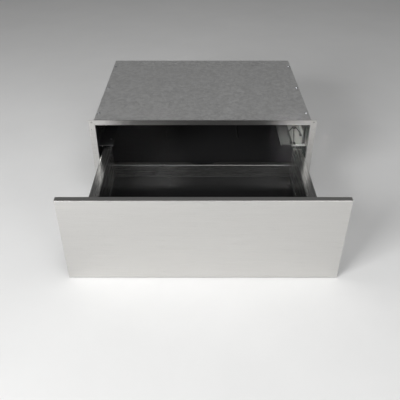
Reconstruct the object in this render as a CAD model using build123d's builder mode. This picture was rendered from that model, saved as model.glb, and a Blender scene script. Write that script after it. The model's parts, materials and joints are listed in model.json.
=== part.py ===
from build123d import *
import os
from math import cos, radians, sin, sqrt

# A built-in warming drawer for a kitchen cabinet, shown with its drawer pulled out.
# X runs to the right, Y into the cabinet and Z up, in millimetres. The origin lies on
# the surface that the unit stands on, in the middle of its footprint with the drawer out.

# ---------------------------------------------------------------- driving dimensions
# Front panel, a folded steel tray
panel_width = 757.0
panel_height = 267.0
panel_thickness = 17.0
panel_foot_gap = 2.0
panel_rest_gap = 3.0
skin_sheet = 1.0
skin_edge_radius = 1.2
liner_sheet = 0.8
stiffener_sheet = 1.2
stiffener_columns = 5
stiffener_inset = 18.0
bumper_radius = 6.0
bumper_sides = 12
bumper_gap = 0.3
bumper_inset = 22.0

# Travel of the drawer from closed to fully out
travel = 432.0

# Drawer box
drawer_length = 477.0
side_width = 31.0
side_top_z = 140.5
side_edge_radius = 3.0
box_sheet = 1.0
box_bend = 2.0
pan_z = 19.0
pan_sheet = 0.8
insulation_thickness = 4.0
reflector_sheet = 0.8
reflector_lip = 4.0
glass_top_z = 35.0
glass_thickness = 4.0
glass_clearance = 0.5
glass_corner = 4.0
ledge_depth = 8.0
front_wall_depth = 11.0
rear_wall_top_z = 82.0
rim_depth = 21.0
rim_lip = 10.0
notch_width = 86.0
notch_depth = 16.0
end_cap_thickness = 3.0
end_cap_clearance = 0.2
end_cap_flange = 1.5
end_catch_width = 4.0
end_catch_height = 4.5
bracket_sheet = 2.0
bracket_length = 60.0
bracket_height = 84.0
bracket_flange = 23.0

# Heating element under the glass floor
element_diameter = 5.0
element_runs = 4
element_pitch = 96.0
element_edge_gap = 28.0
element_bend_flat = 2.0
element_sides = 6
clip_width = 8.0
clip_sheet = 0.8
clip_gap = 0.2
clip_foot = 6.5
sensor_diameter = 9.0
sensor_gap = 0.3
sensor_plate_length = 23.0

# Ball bearing runners, beside the drawer at half its height
runner_space = 12.7
runner_setback = 20.0
runner_rear_gap = 4.0
runner_z = 80.0
runner_height = 44.0
runner_web = 1.2
runner_flange = 1.6
ball_diameter = 3.5
ball_sides = 6
ball_rim_cut = 1.05
race_clearance = 0.3
pocket_clearance = 0.15
cage_sheet = 0.8
cage_strip = 1.2
cage_length = 180.0
balls_in_row = 3
outer_flange_reach = 11.2
mid_web_offset = 3.7
mid_flange_reach = 12.0
inner_flange_offset = 6.8
outer_ball_offset = 8.0
inner_ball_offset = 9.2
outer_cage_offset = 2.0
inner_cage_offset = 5.3
cage_reach_past_ball = 1.0

# Front frame, a little smaller than the panel all round
frame_side_reveal = 6.5
frame_top_reveal = 3.3
frame_bottom_reveal = 5.7
frame_side_strip = 20.0
frame_top_strip = 17.0
frame_bottom_strip = 9.0
frame_sheet = 2.0
frame_lip_depth = 10.0
frame_lip_sheet = 1.0
frame_hole_diameter = 5.0
frame_hole_inset = 6.5
frame_hole_drop = 34.0
mitre_groove = 0.4
drawer_side_gap = 9.5

# Housing
bay_depth = 75.0
housing_sheet = 1.2
base_sheet = 1.5
floor_z = 14.0
housing_top_drop = 7.5
side_foot_z = 4.0
flange_depth = 12.0
front_flange = 5.0
skid_width = 40.0
skid_inset = 60.0
pad_height = 3.0
pad_diameter = 32.0
pad_sides = 24
floor_rib_half_spacing = 145.0
floor_rib_height = 2.5
floor_rib_width = 6.0
floor_rib_slope = 55.0
floor_rib_length = 111.0
floor_rib_rear_gap = 29.0
vent_slot_length = 60.0
vent_slot_width = 4.0
cover_vent_pitch = 90.0
cover_vent_row_pitch = 16.0
cover_vent_columns = 6
cover_vent_rows = 3
back_vent_pitch = 78.0
back_vent_row_pitch = 12.0
back_vent_columns = 2
back_vent_rows = 6
cover_screw_end_gap = 67.2
back_screw_shares = (0.2, 0.8)

# Guide plates above the drawer sides, and the leads on the right one
guide_top_z = 151.0
guide_sheet = 1.0
guide_overhang = 3.5
guide_setback = 42.0
guide_rear_gap = 15.0
guide_upstand = 20.0
guide_front_lip = 3.0
lead_cover_width = 36.0
lead_cover_overlap = 4.0
lead_cover_length = 260.0
lead_diameter = 3.6
lead_seat_gap = 0.1
lead_sides = 6
lead_bend = 7.2
lead_arch_height = 14.4
lead_root_gap = 0.15
grommet_inset = 20.6
grommet_setback = 166.6
grommet_bore = 9.0
grommet_wall = 2.5
grommet_height = 3.0
grommet_sides = 12
plug_length = 11.0
plug_width = 7.0
plug_height = 6.0
plug_edge_chamfer = 0.8
plug_front_gap = 2.0
plug_gap = 0.3
left_plug_overhang = 2.0
middle_plug_inset = 9.0
right_plug_inset = 6.5
right_plug_setback = 62.0
landing_setback = 34.0
left_landing_inset = 1.0
middle_landing_offset = 7.0

# Push latch on the bulkhead, with a magnet tip
latch_z = 70.0
latch_nose_size = 28.0
latch_nose_length = 17.5
latch_nose_chamfer = 2.0
latch_plate_width = 70.0
latch_plate_height = 48.0
latch_plate_thickness = 3.0
plunger_radius = 5.0
plunger_fit = 0.08
plunger_travel = 4.0
plunger_stem = 21.0
tip_width = 20.0
tip_height = 14.0
tip_thickness = 3.0
tip_chamfer = 0.8
tip_stop_gap = 1.0
striker_gap = 0.5
striker_width = 30.0
striker_height = 20.0
striker_thickness = 2.0

# Circulation fan behind the bulkhead
fan_inset = 185.2
fan_z = 130.0
rotor_radius = 50.0
rotor_depth = 22.0
rotor_sheet = 1.2
rotor_blades = 14
blade_length = 14.0
blade_thickness = 1.2
blade_turn = 28.0
hub_radius = 6.6
hub_length = 11.0
rotor_gap = 2.5
scroll_gap = 8.0
scroll_wall = 1.5
scroll_bore_radius = 7.5
outlet_height = 12.0
outlet_slot_height = 6.0
outlet_slot_inset = 11.6
inlet_slots = 10
inlet_slot_length = 25.0
inlet_slot_ring_radius = 27.5
motor_width = 56.0
motor_height = 48.0
motor_stack_length = 18.0
motor_length = 26.0
motor_cover_radius = 14.0
shaft_radius = 3.0
shaft_fit = 0.05
shaft_reach = 14.0
shaft_end_gap = 1.0

# Control box, terminal block and cable inlet behind the bulkhead
control_terminal_gap = 32.0
control_width = 170.0
control_depth = 54.0
control_height = 80.0
control_wall = 2.0
control_corner = 3.0
lid_vents = 9
lid_vent_pitch = 12.0
lid_vent_length = 27.0
board_thickness = 1.6
board_gap = 2.0
board_post_width = 5.0
board_post_height = 5.0
transformer_width = 36.0
transformer_depth = 32.0
transformer_height = 30.0
relay_width = 16.0
relay_depth = 28.0
relay_height = 20.0
capacitor_radius = 9.0
capacitor_height = 26.0
component_gap = 14.0
terminal_inset = 33.2
terminal_width = 30.0
terminal_height = 18.0
terminal_depth = 20.0
terminal_rise = 25.0
terminal_poles = 3
terminal_slot_width = 6.0
terminal_slot_height = 11.0
terminal_slot_depth = 10.0
gland_z = 46.0
gland_bore = 8.0
gland_thread_radius = 9.0
gland_reach = 14.0
gland_nut_thickness = 5.0
gland_nut_radius = 12.2
gland_dome_chamfer = 3.0
gland_sides = 12

# Hexagon head sheet metal screws
screw_head_radius = 4.0
screw_head_height = 2.0
screw_shank_radius = 1.8
screw_shank_length = 7.0
screw_hole_clearance = 0.1
screw_sides = 6
hole_sides = 8

# ---------------------------------------------------------------- places worked out
# Depths are counted from the frame's front face into the housing. With the drawer shut,
# its striker stands before the latch's plunger, and the latch stands on the bulkhead.
striker_depth = drawer_length - panel_rest_gap - rim_depth + box_sheet
tip_depth = striker_depth + striker_thickness + striker_gap
nose_depth = tip_depth + tip_thickness + plunger_travel + tip_stop_gap
bulkhead_depth = nose_depth + latch_nose_length + latch_plate_thickness
housing_depth = bulkhead_depth + bay_depth
runner_length = drawer_length - panel_rest_gap - runner_setback - runner_rear_gap
guide_length = bulkhead_depth - guide_setback - guide_rear_gap

overall_depth = panel_thickness + panel_rest_gap + travel + housing_depth + gland_reach
frame_y = panel_thickness + panel_rest_gap + travel - overall_depth / 2

panel_back_y = frame_y - panel_rest_gap - travel
panel_front_y = panel_back_y - panel_thickness
panel_top_z = panel_foot_gap + panel_height
panel_middle_z = panel_foot_gap + panel_height / 2

frame_width = panel_width - 2 * frame_side_reveal
frame_top_z = panel_top_z - frame_top_reveal
frame_bottom_z = panel_foot_gap + frame_bottom_reveal
frame_height = frame_top_z - frame_bottom_z
frame_middle_z = (frame_top_z + frame_bottom_z) / 2
opening_half = frame_width / 2 - frame_side_strip
opening_top_z = frame_top_z - frame_top_strip
opening_bottom_z = frame_bottom_z + frame_bottom_strip
frame_back_y = frame_y + frame_sheet

drawer_half = opening_half - drawer_side_gap
inner_half = drawer_half - side_width
drawer_rear_y = panel_back_y + drawer_length
rear_wall_y = drawer_rear_y - rim_depth
front_wall_y = panel_back_y + front_wall_depth
pan_top_z = pan_z + pan_sheet
reflector_z = pan_top_z + insulation_thickness
reflector_top_z = reflector_z + reflector_sheet
glass_z = glass_top_z - glass_thickness

wall_x = drawer_half + runner_space
housing_half = wall_x + housing_sheet
housing_back_y = frame_y + housing_depth
housing_top_z = frame_top_z - housing_top_drop
flange_z = housing_top_z - housing_sheet
flange_under_z = flange_z - housing_sheet
bulkhead_y = frame_y + bulkhead_depth
back_panel_y = housing_back_y - housing_sheet
guide_inner_x = inner_half - guide_overhang
grommet_x = wall_x - grommet_inset
terminal_x = wall_x - terminal_inset
control_x = terminal_x - (terminal_width + control_width) / 2 - control_terminal_gap
fan_x = fan_inset - wall_x

os.makedirs("parts", exist_ok=True)


def upright(y):
    """A drawing plane across the unit: its x is X, its y is Z."""
    return Plane(origin=(0, y, 0), x_dir=(1, 0, 0), z_dir=(0, -1, 0))


def lengthwise(x):
    """A drawing plane along the unit: its x is Y, its y is Z."""
    return Plane(origin=(x, 0, 0), x_dir=(0, 1, 0), z_dir=(1, 0, 0))


def level(z):
    """A drawing plane flat on the unit: its x is X, its y is Y."""
    return Plane.XY.offset(z)


def span(low, high):
    """Middle and length of a stretch."""
    return (low + high) / 2, high - low


def rectangle_between(low_x, high_x, low_y, high_y, mode=Mode.ADD):
    """A rectangle in the open sketch, from one corner to the other."""
    middle_x, width = span(low_x, high_x)
    middle_y, height = span(low_y, high_y)
    with Locations((middle_x, middle_y)):
        Rectangle(width, height, mode=mode)


def screw_holes(places):
    """Punched holes in the open sketch, eight-sided to keep their faces few."""
    with Locations(*places):
        RegularPolygon(
            screw_shank_radius + screw_hole_clearance,
            hole_sides,
            major_radius=False,
            mode=Mode.SUBTRACT,
        )


# ---------------------------------------------------------------- housing
skid_x = wall_x - skid_inset
skid_front_y = frame_back_y + frame_lip_depth
skid_top_z = floor_z - base_sheet

with BuildPart() as chassis_base:
    with BuildSketch(level(skid_top_z)):
        rectangle_between(-wall_x, wall_x, frame_back_y + frame_lip_depth, back_panel_y)
    extrude(amount=base_sheet)
    with BuildSketch(upright(skid_front_y)):
        for side in (-1, 1):
            with Locations((side * skid_x, (pad_height + skid_top_z) / 2)):
                Rectangle(skid_width, skid_top_z - pad_height)
            with Locations((side * skid_x, (pad_height + base_sheet + skid_top_z) / 2)):
                Rectangle(
                    skid_width - 2 * base_sheet,
                    skid_top_z - pad_height - base_sheet,
                    mode=Mode.SUBTRACT,
                )
    extrude(amount=skid_front_y - back_panel_y)
    with BuildSketch(upright(bulkhead_y - floor_rib_rear_gap - floor_rib_length)):
        with Locations((-floor_rib_half_spacing, floor_z), (floor_rib_half_spacing, floor_z)):
            Trapezoid(
                floor_rib_width,
                floor_rib_height,
                floor_rib_slope,
                align=(Align.CENTER, Align.MIN),
            )
    extrude(amount=-floor_rib_length)
chassis_base.part.label = "chassis_base"
export_step(chassis_base.part, "parts/chassis_base.step")

pad_front_y = skid_front_y + pad_diameter / 2
pad_back_y = back_panel_y - pad_diameter / 2
with BuildPart() as support_pads:
    with BuildSketch(level(0)):
        for pad_y in (pad_front_y, pad_back_y):
            with Locations((-skid_x, pad_y), (skid_x, pad_y)):
                RegularPolygon(pad_diameter / 2, pad_sides)
    extrude(amount=pad_height)
support_pads.part.label = "support_pads"
export_step(support_pads.part, "parts/support_pads.step")

# Screws go through the cover into the sides' top flanges, and through the back panel
# into their rear flanges.
flange_screw_x = wall_x - flange_depth / 2
cover_screw_depths = (cover_screw_end_gap, housing_depth / 2, housing_depth - cover_screw_end_gap)
cover_screw_ys = [frame_y + depth for depth in cover_screw_depths]
back_screw_zs = [floor_z + (flange_under_z - floor_z) * share for share in back_screw_shares]

for side, side_name in ((-1, "left"), (1, "right")):
    with BuildPart() as chassis_side:
        with BuildSketch(level(side_foot_z)):
            rectangle_between(side * wall_x, side * housing_half, frame_back_y, back_panel_y)
        extrude(amount=flange_z - side_foot_z)
        # Front flange behind the front frame
        with BuildSketch(upright(frame_back_y)):
            rectangle_between(
                side * housing_half,
                side * (housing_half + front_flange),
                opening_bottom_z,
                opening_top_z,
            )
        extrude(amount=-housing_sheet)
        # Top flange under the cover
        with BuildSketch(level(flange_under_z)):
            rectangle_between(
                side * (wall_x - flange_depth),
                side * wall_x,
                frame_back_y + frame_lip_depth,
                back_panel_y,
            )
            screw_holes([(side * flange_screw_x, y) for y in cover_screw_ys])
        extrude(amount=housing_sheet)
        # Rear flange in front of the back panel
        with BuildSketch(upright(back_panel_y)):
            rectangle_between(
                side * (wall_x - flange_depth), side * wall_x, floor_z, flange_under_z
            )
            screw_holes([(side * flange_screw_x, z) for z in back_screw_zs])
        extrude(amount=housing_sheet)
    chassis_side.part.label = f"chassis_side_{side_name}"
    export_step(chassis_side.part, f"parts/chassis_side_{side_name}.step")

with BuildPart() as chassis_cover:
    with BuildSketch(level(flange_z)):
        rectangle_between(
            -housing_half - housing_sheet,
            housing_half + housing_sheet,
            frame_back_y + housing_sheet,
            housing_back_y,
        )
        for side in (-1, 1):
            screw_holes([(side * flange_screw_x, y) for y in cover_screw_ys])
        with Locations((0, bulkhead_y + bay_depth / 2)):
            with GridLocations(
                cover_vent_pitch, cover_vent_row_pitch, cover_vent_columns, cover_vent_rows
            ):
                Rectangle(vent_slot_length, vent_slot_width, mode=Mode.SUBTRACT)
    extrude(amount=housing_sheet)
    # Down-turned edges along both sides
    with BuildSketch(level(flange_z - flange_depth)):
        for side in (-1, 1):
            rectangle_between(
                side * housing_half,
                side * (housing_half + housing_sheet),
                frame_back_y + housing_sheet,
                housing_back_y,
            )
    extrude(amount=flange_depth)
chassis_cover.part.label = "chassis_cover"
export_step(chassis_cover.part, "parts/chassis_cover.step")

gland_x = terminal_x
with BuildPart() as chassis_back:
    with BuildSketch(upright(back_panel_y)):
        rectangle_between(-wall_x, wall_x, floor_z - base_sheet, flange_z)
        for side in (-1, 1):
            screw_holes([(side * flange_screw_x, z) for z in back_screw_zs])
        with Locations((fan_x, fan_z)):
            with GridLocations(
                back_vent_pitch, back_vent_row_pitch, back_vent_columns, back_vent_rows
            ):
                Rectangle(vent_slot_length, vent_slot_width, mode=Mode.SUBTRACT)
        with Locations((gland_x, gland_z)):
            Circle(gland_thread_radius + screw_hole_clearance, mode=Mode.SUBTRACT)
    extrude(amount=-housing_sheet)
chassis_back.part.label = "chassis_back"
export_step(chassis_back.part, "parts/chassis_back.step")

# Rear wall of the cavity. The fan draws through its round field of slots and blows
# through the wide slot beneath.
latch_bore_radius = plunger_radius + plunger_fit
scroll_radius = rotor_radius + scroll_gap
outlet_z = fan_z - scroll_radius - outlet_height
with BuildPart() as rear_bulkhead:
    with BuildSketch(upright(bulkhead_y)):
        rectangle_between(-wall_x, wall_x, floor_z, flange_under_z)
        with Locations((fan_x, fan_z)):
            with PolarLocations(inlet_slot_ring_radius, inlet_slots):
                Rectangle(inlet_slot_length, vent_slot_width, mode=Mode.SUBTRACT)
        with Locations((fan_x, outlet_z)):
            Rectangle(
                2 * (scroll_radius - outlet_slot_inset),
                outlet_slot_height,
                mode=Mode.SUBTRACT,
            )
    extrude(amount=-housing_sheet)
rear_bulkhead.part.label = "rear_bulkhead"
export_step(rear_bulkhead.part, "parts/rear_bulkhead.step")

# ---------------------------------------------------------------- front frame
with BuildPart() as front_frame:
    with BuildSketch(upright(frame_y)):
        rectangle_between(-frame_width / 2, frame_width / 2, frame_bottom_z, frame_top_z)
        rectangle_between(
            -opening_half, opening_half, opening_bottom_z, opening_top_z, mode=Mode.SUBTRACT
        )
        # Screw holes near the four corners
        with Locations((0, frame_middle_z)):
            with GridLocations(
                frame_width - 2 * frame_hole_inset, frame_height - 2 * frame_hole_drop, 2, 2
            ):
                Circle(frame_hole_diameter / 2, mode=Mode.SUBTRACT)
    extrude(amount=-frame_sheet)
    # Lip turned back into the cabinet round the opening
    with BuildSketch(upright(frame_back_y)):
        rectangle_between(
            -opening_half - frame_lip_sheet,
            opening_half + frame_lip_sheet,
            opening_bottom_z - frame_lip_sheet,
            opening_top_z + frame_lip_sheet,
        )
        rectangle_between(
            -opening_half, opening_half, opening_bottom_z, opening_top_z, mode=Mode.SUBTRACT
        )
    extrude(amount=-frame_lip_depth)
    # Joint lines where the mitred strips meet
    for side in (-1, 1):
        for inner_z, outer_z in (
            (opening_top_z, frame_top_z),
            (opening_bottom_z, frame_bottom_z),
        ):
            with BuildSketch(upright(frame_y)):
                with BuildLine():
                    Polyline(
                        (side * opening_half - mitre_groove / 2, inner_z),
                        (side * opening_half + mitre_groove / 2, inner_z),
                        (side * frame_width / 2 + mitre_groove / 2, outer_z),
                        (side * frame_width / 2 - mitre_groove / 2, outer_z),
                        close=True,
                    )
                make_face()
            extrude(amount=-mitre_groove, mode=Mode.SUBTRACT)
front_frame.part.label = "front_frame"
export_step(front_frame.part, "parts/front_frame.step")

# ---------------------------------------------------------------- runners
# A place in the runner's section is given by its distance from the housing wall and
# its height over the runner's middle.
outer_half = runner_height / 2
outer_inside = outer_half - runner_flange
mid_half = outer_inside - ball_diameter
mid_inside = mid_half - runner_flange
inner_runner_half = mid_inside - ball_diameter
inner_inside = inner_runner_half - runner_flange
outer_ball_height = (outer_inside + mid_half) / 2
inner_ball_height = (mid_inside + inner_runner_half) / 2
groove_radius = ball_diameter / 2 + race_clearance
pocket_radius = ball_diameter / 2 + pocket_clearance


def section_box(side, near, far, half_height, mode=Mode.ADD):
    """A box in the runner's section, from one distance off the wall to another."""
    rectangle_between(
        side * (wall_x - near),
        side * (wall_x - far),
        runner_z - half_height,
        runner_z + half_height,
        mode=mode,
    )


def section_grooves(side, offset, height):
    """The two rolled grooves that a pair of ball rows runs in."""
    with Locations(
        (side * (wall_x - offset), runner_z + height),
        (side * (wall_x - offset), runner_z - height),
    ):
        Circle(groove_radius, mode=Mode.SUBTRACT)


runner_closed_y = frame_y + runner_setback
cage_closed_y = runner_closed_y + (runner_length - cage_length) / 2
ball_pitch = cage_length / balls_in_row

# One bearing ball, drawn with few faces: a hexagonal barrel with its rims cut back
with BuildPart() as bearing_ball:
    with BuildSketch(level(0)):
        RegularPolygon(ball_diameter / 2, ball_sides)
    extrude(amount=ball_diameter / 2, both=True)
    ball_rims = bearing_ball.edges().group_by(Axis.Z)
    chamfer(ball_rims[0] + ball_rims[-1], ball_rim_cut)

for side, side_name in ((-1, "left"), (1, "right")):
    # Member that is fixed to the housing
    with BuildPart() as runner_outer:
        with BuildSketch(upright(runner_closed_y)):
            section_box(side, 0, outer_flange_reach, outer_half)
            section_box(side, runner_web, outer_flange_reach, outer_inside, Mode.SUBTRACT)
            section_grooves(side, outer_ball_offset, outer_ball_height)
        extrude(amount=-runner_length)
    runner_outer.part.label = f"runner_outer_{side_name}"
    export_step(runner_outer.part, f"parts/runner_outer_{side_name}.step")

    # Middle member, half way out
    with BuildPart() as runner_middle:
        with BuildSketch(upright(runner_closed_y - travel / 2)):
            section_box(side, mid_web_offset, mid_flange_reach, mid_half)
            section_box(
                side, mid_web_offset + runner_web, mid_flange_reach, mid_inside, Mode.SUBTRACT
            )
            section_grooves(side, outer_ball_offset, outer_ball_height)
            section_grooves(side, inner_ball_offset, inner_ball_height)
        extrude(amount=-runner_length)
    runner_middle.part.label = f"runner_middle_{side_name}"
    export_step(runner_middle.part, f"parts/runner_middle_{side_name}.step")

    # Member that is fixed to the drawer
    with BuildPart() as runner_inner:
        with BuildSketch(upright(runner_closed_y - travel)):
            section_box(side, inner_flange_offset, runner_space, inner_runner_half)
            section_box(
                side,
                inner_flange_offset,
                runner_space - runner_web,
                inner_inside,
                Mode.SUBTRACT,
            )
            section_grooves(side, inner_ball_offset, inner_ball_height)
        extrude(amount=-runner_length)
    runner_inner.part.label = f"runner_inner_{side_name}"
    export_step(runner_inner.part, f"parts/runner_inner_{side_name}.step")

    # Ball cages: each goes half as far as the two members that it runs between
    for place, near, ball_offset, ball_height, share in (
        ("outer", outer_cage_offset, outer_ball_offset, outer_ball_height, 0.25),
        ("inner", inner_cage_offset, inner_ball_offset, inner_ball_height, 0.75),
    ):
        cage_y = cage_closed_y - share * travel
        cage_far = ball_offset + cage_reach_past_ball
        with BuildPart() as ball_cage:
            with BuildSketch(upright(cage_y)):
                section_box(side, near, cage_far, ball_height + cage_strip / 2)
                section_box(
                    side,
                    near + cage_sheet,
                    cage_far,
                    ball_height - cage_strip / 2,
                    Mode.SUBTRACT,
                )
            extrude(amount=-cage_length)
            ball_places = [
                (side * (wall_x - ball_offset), cage_y + ball_pitch * (index + 0.5))
                for index in range(balls_in_row)
            ]
            with BuildSketch(level(runner_z - ball_height - cage_strip)):
                with Locations(*ball_places):
                    RegularPolygon(pocket_radius, hole_sides, major_radius=False)
            extrude(amount=2 * (ball_height + cage_strip), mode=Mode.SUBTRACT)
            with Locations(
                *[
                    (x, y, runner_z + up * ball_height)
                    for x, y in ball_places
                    for up in (-1, 1)
                ]
            ):
                add(bearing_ball.part)
        ball_cage.part.label = f"ball_cage_{place}_{side_name}"
        export_step(ball_cage.part, f"parts/ball_cage_{place}_{side_name}.step")

# ---------------------------------------------------------------- guide plates
guide_front_y = frame_y + guide_setback
guide_z = guide_top_z - guide_sheet
grommet_y = frame_y + grommet_setback
grommet_neck = grommet_bore / 2 + grommet_wall / 2
for side, side_name in ((-1, "left"), (1, "right")):
    with BuildPart() as guide_plate:
        with BuildSketch(level(guide_z)):
            rectangle_between(
                side * guide_inner_x, side * wall_x, guide_front_y, guide_front_y + guide_length
            )
            if side == 1:
                with Locations((grommet_x, grommet_y)):
                    RegularPolygon(grommet_neck, grommet_sides, mode=Mode.SUBTRACT)
        extrude(amount=guide_sheet)
        with BuildSketch(level(guide_top_z)):
            rectangle_between(
                side * (wall_x - guide_sheet),
                side * wall_x,
                guide_front_y,
                guide_front_y + guide_length,
            )
        extrude(amount=guide_upstand)
        with BuildSketch(level(guide_z - guide_front_lip)):
            rectangle_between(
                side * guide_inner_x, side * wall_x, guide_front_y, guide_front_y + guide_sheet
            )
        extrude(amount=guide_front_lip)
    guide_plate.part.label = f"guide_plate_{side_name}"
    export_step(guide_plate.part, f"parts/guide_plate_{side_name}.step")

# A flat cover beside the right guide plate hides the lead channel.
with BuildPart() as lead_cover:
    with BuildSketch(upright(guide_front_y)):
        rectangle_between(
            guide_inner_x - lead_cover_width,
            guide_inner_x + lead_cover_overlap,
            guide_top_z,
            guide_top_z + guide_sheet,
        )
        rectangle_between(
            guide_inner_x - lead_cover_width,
            guide_inner_x - lead_cover_width + guide_sheet,
            guide_z - guide_front_lip,
            guide_top_z,
        )
    extrude(amount=-lead_cover_length)
lead_cover.part.label = "lead_cover"
export_step(lead_cover.part, "parts/lead_cover.step")

# The grommet grips the plate's edge between its two collars.
with BuildPart() as lead_grommet:
    for collar_z, collar_height, collar_radius in (
        (guide_z - grommet_height, grommet_height, grommet_bore / 2 + grommet_wall),
        (guide_z, guide_sheet, grommet_neck),
        (guide_top_z, grommet_height, grommet_bore / 2 + grommet_wall),
    ):
        with BuildSketch(level(collar_z)):
            with Locations((grommet_x, grommet_y)):
                RegularPolygon(collar_radius, grommet_sides)
                RegularPolygon(grommet_bore / 2, grommet_sides, mode=Mode.SUBTRACT)
        extrude(amount=collar_height)
lead_grommet.part.label = "lead_grommet"
export_step(lead_grommet.part, "parts/lead_grommet.step")


def lead(route):
    """One insulated lead along a route of straight runs joined by arcs."""
    with BuildPart() as wire:
        with BuildLine():
            run = FilletPolyline(*route, radius=lead_bend)
        with BuildSketch(Plane(origin=run @ 0, z_dir=run % 0)):
            RegularPolygon(lead_diameter / 2, lead_sides)
        sweep()
    return wire.part


# Three leads come up through the grommet, lean over its rim and run forward on the
# plate and on the lead cover, each to its own plug.
lead_root_z = guide_z - grommet_height
lead_arch_z = guide_top_z + grommet_height + lead_arch_height
plate_lead_z = guide_top_z + lead_diameter / 2 + lead_seat_gap
cover_lead_z = plate_lead_z + guide_sheet
lead_root_radius = (lead_diameter + lead_root_gap) / sqrt(3)
landing_y = grommet_y - landing_setback
plug_row_y = guide_front_y + plug_front_gap
left_plug = (guide_inner_x - left_plug_overhang, plug_row_y, guide_top_z + guide_sheet)
middle_plug = (guide_inner_x + middle_plug_inset, plug_row_y, guide_top_z)
right_plug = (wall_x - right_plug_inset, guide_front_y + right_plug_setback, guide_top_z)
lead_plans = (
    (left_plug, 130, guide_inner_x + left_landing_inset, cover_lead_z),
    (middle_plug, 250, grommet_x - middle_landing_offset, plate_lead_z),
    (right_plug, 10, wall_x - right_plug_inset, plate_lead_z),
)

leads = []
for plug, root_angle, landing_x, run_z in lead_plans:
    root_x = grommet_x + lead_root_radius * cos(radians(root_angle))
    root_y = grommet_y + lead_root_radius * sin(radians(root_angle))
    leads.append(
        lead(
            [
                (root_x, root_y, lead_root_z),
                (root_x, root_y, lead_arch_z),
                (landing_x, landing_y, run_z),
                (plug[0], plug[1] + plug_length + plug_gap, run_z),
            ]
        )
    )
with BuildPart() as sensor_leads:
    add(leads)
sensor_leads.part.label = "sensor_leads"
export_step(sensor_leads.part, "parts/sensor_leads.step")

with BuildPart() as lead_plugs:
    for plug_x, plug_y, plug_z in (left_plug, middle_plug, right_plug):
        with BuildSketch(level(plug_z)):
            with Locations((plug_x, plug_y + plug_length / 2)):
                Rectangle(plug_width, plug_length)
        extrude(amount=plug_height)
    long_top_edges = [
        edge
        for plug in lead_plugs.solids()
        for edge in plug.edges().filter_by(Axis.Y).group_by(Axis.Z)[-1]
    ]
    chamfer(long_top_edges, plug_edge_chamfer)
lead_plugs.part.label = "lead_plugs"
export_step(lead_plugs.part, "parts/lead_plugs.step")

# ---------------------------------------------------------------- push latch
latch_front_y = bulkhead_y - latch_plate_thickness
striker_y = rear_wall_y + box_sheet
tip_y = frame_y + tip_depth
tip_back_y = tip_y + tip_thickness
nose_y = frame_y + nose_depth

with BuildPart() as latch_body:
    with BuildSketch(upright(latch_front_y)):
        with Locations((0, latch_z)):
            Rectangle(latch_plate_width, latch_plate_height)
    extrude(amount=-latch_plate_thickness)
    plate_corners = latch_body.edges().filter_by(Axis.Y)
    chamfer(plate_corners, 2 * latch_plate_thickness)
    with BuildSketch(upright(latch_front_y)):
        with Locations((0, latch_z)):
            Rectangle(latch_nose_size, latch_nose_size)
    extrude(amount=latch_front_y - nose_y)
    nose_rim = latch_body.faces().sort_by(Axis.Y)[0].edges()
    chamfer(nose_rim, latch_nose_chamfer)
    with BuildSketch(upright(nose_y)):
        with Locations((0, latch_z)):
            Circle(latch_bore_radius)
    extrude(amount=nose_y - bulkhead_y, mode=Mode.SUBTRACT)
latch_body.part.label = "latch_body"
export_step(latch_body.part, "parts/latch_body.step")

with BuildPart() as latch_plunger:
    with BuildSketch(upright(tip_y)):
        with Locations((0, latch_z)):
            Rectangle(tip_width, tip_height)
    extrude(amount=-tip_thickness)
    chamfer(latch_plunger.faces().sort_by(Axis.Y)[0].edges(), tip_chamfer)
    with BuildSketch(upright(tip_back_y)):
        with Locations((0, latch_z)):
            Circle(plunger_radius)
    extrude(amount=-plunger_stem)
latch_plunger.part.label = "latch_plunger"
export_step(latch_plunger.part, "parts/latch_plunger.step")

# ---------------------------------------------------------------- circulation fan
scroll_y = bulkhead_y + housing_sheet
rotor_y = scroll_y + rotor_gap
scroll_depth = rotor_gap + rotor_depth + rotor_gap
motor_back_y = back_panel_y
motor_y = motor_back_y - motor_length
rotor_back_y = rotor_y + rotor_depth

with BuildPart() as fan_scroll:
    with BuildSketch(upright(scroll_y)):
        with Locations((fan_x, fan_z)):
            Circle(scroll_radius + scroll_wall)
        rectangle_between(
            fan_x - scroll_radius - scroll_wall,
            fan_x + scroll_radius + scroll_wall,
            outlet_z - outlet_height / 2 - scroll_wall,
            fan_z,
        )
    extrude(amount=-scroll_depth - scroll_wall)
    with BuildSketch(upright(scroll_y)):
        with Locations((fan_x, fan_z)):
            Circle(scroll_radius)
        rectangle_between(
            fan_x - scroll_radius,
            fan_x + scroll_radius,
            outlet_z - outlet_height / 2,
            fan_z,
        )
    extrude(amount=-scroll_depth, mode=Mode.SUBTRACT)
    with BuildSketch(upright(scroll_y + scroll_depth)):
        with Locations((fan_x, fan_z)):
            Circle(scroll_bore_radius)
    extrude(amount=-scroll_wall, mode=Mode.SUBTRACT)
fan_scroll.part.label = "fan_scroll"
export_step(fan_scroll.part, "parts/fan_scroll.step")

# Shaded pole motor: a laminated stack between the bearing cover and the back panel
stack_y = motor_back_y - motor_stack_length
with BuildPart() as fan_motor:
    with BuildSketch(upright(stack_y)):
        with Locations((fan_x, fan_z)):
            Rectangle(motor_width, motor_height)
    extrude(amount=-motor_stack_length)
    with BuildSketch(upright(motor_y)):
        with Locations((fan_x, fan_z)):
            Circle(motor_cover_radius)
    extrude(amount=motor_y - stack_y)
    with BuildSketch(upright(motor_y)):
        with Locations((fan_x, fan_z)):
            Circle(shaft_radius + shaft_fit)
    extrude(amount=-shaft_reach - shaft_end_gap, mode=Mode.SUBTRACT)
fan_motor.part.label = "fan_motor"
export_step(fan_motor.part, "parts/fan_motor.step")

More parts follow.
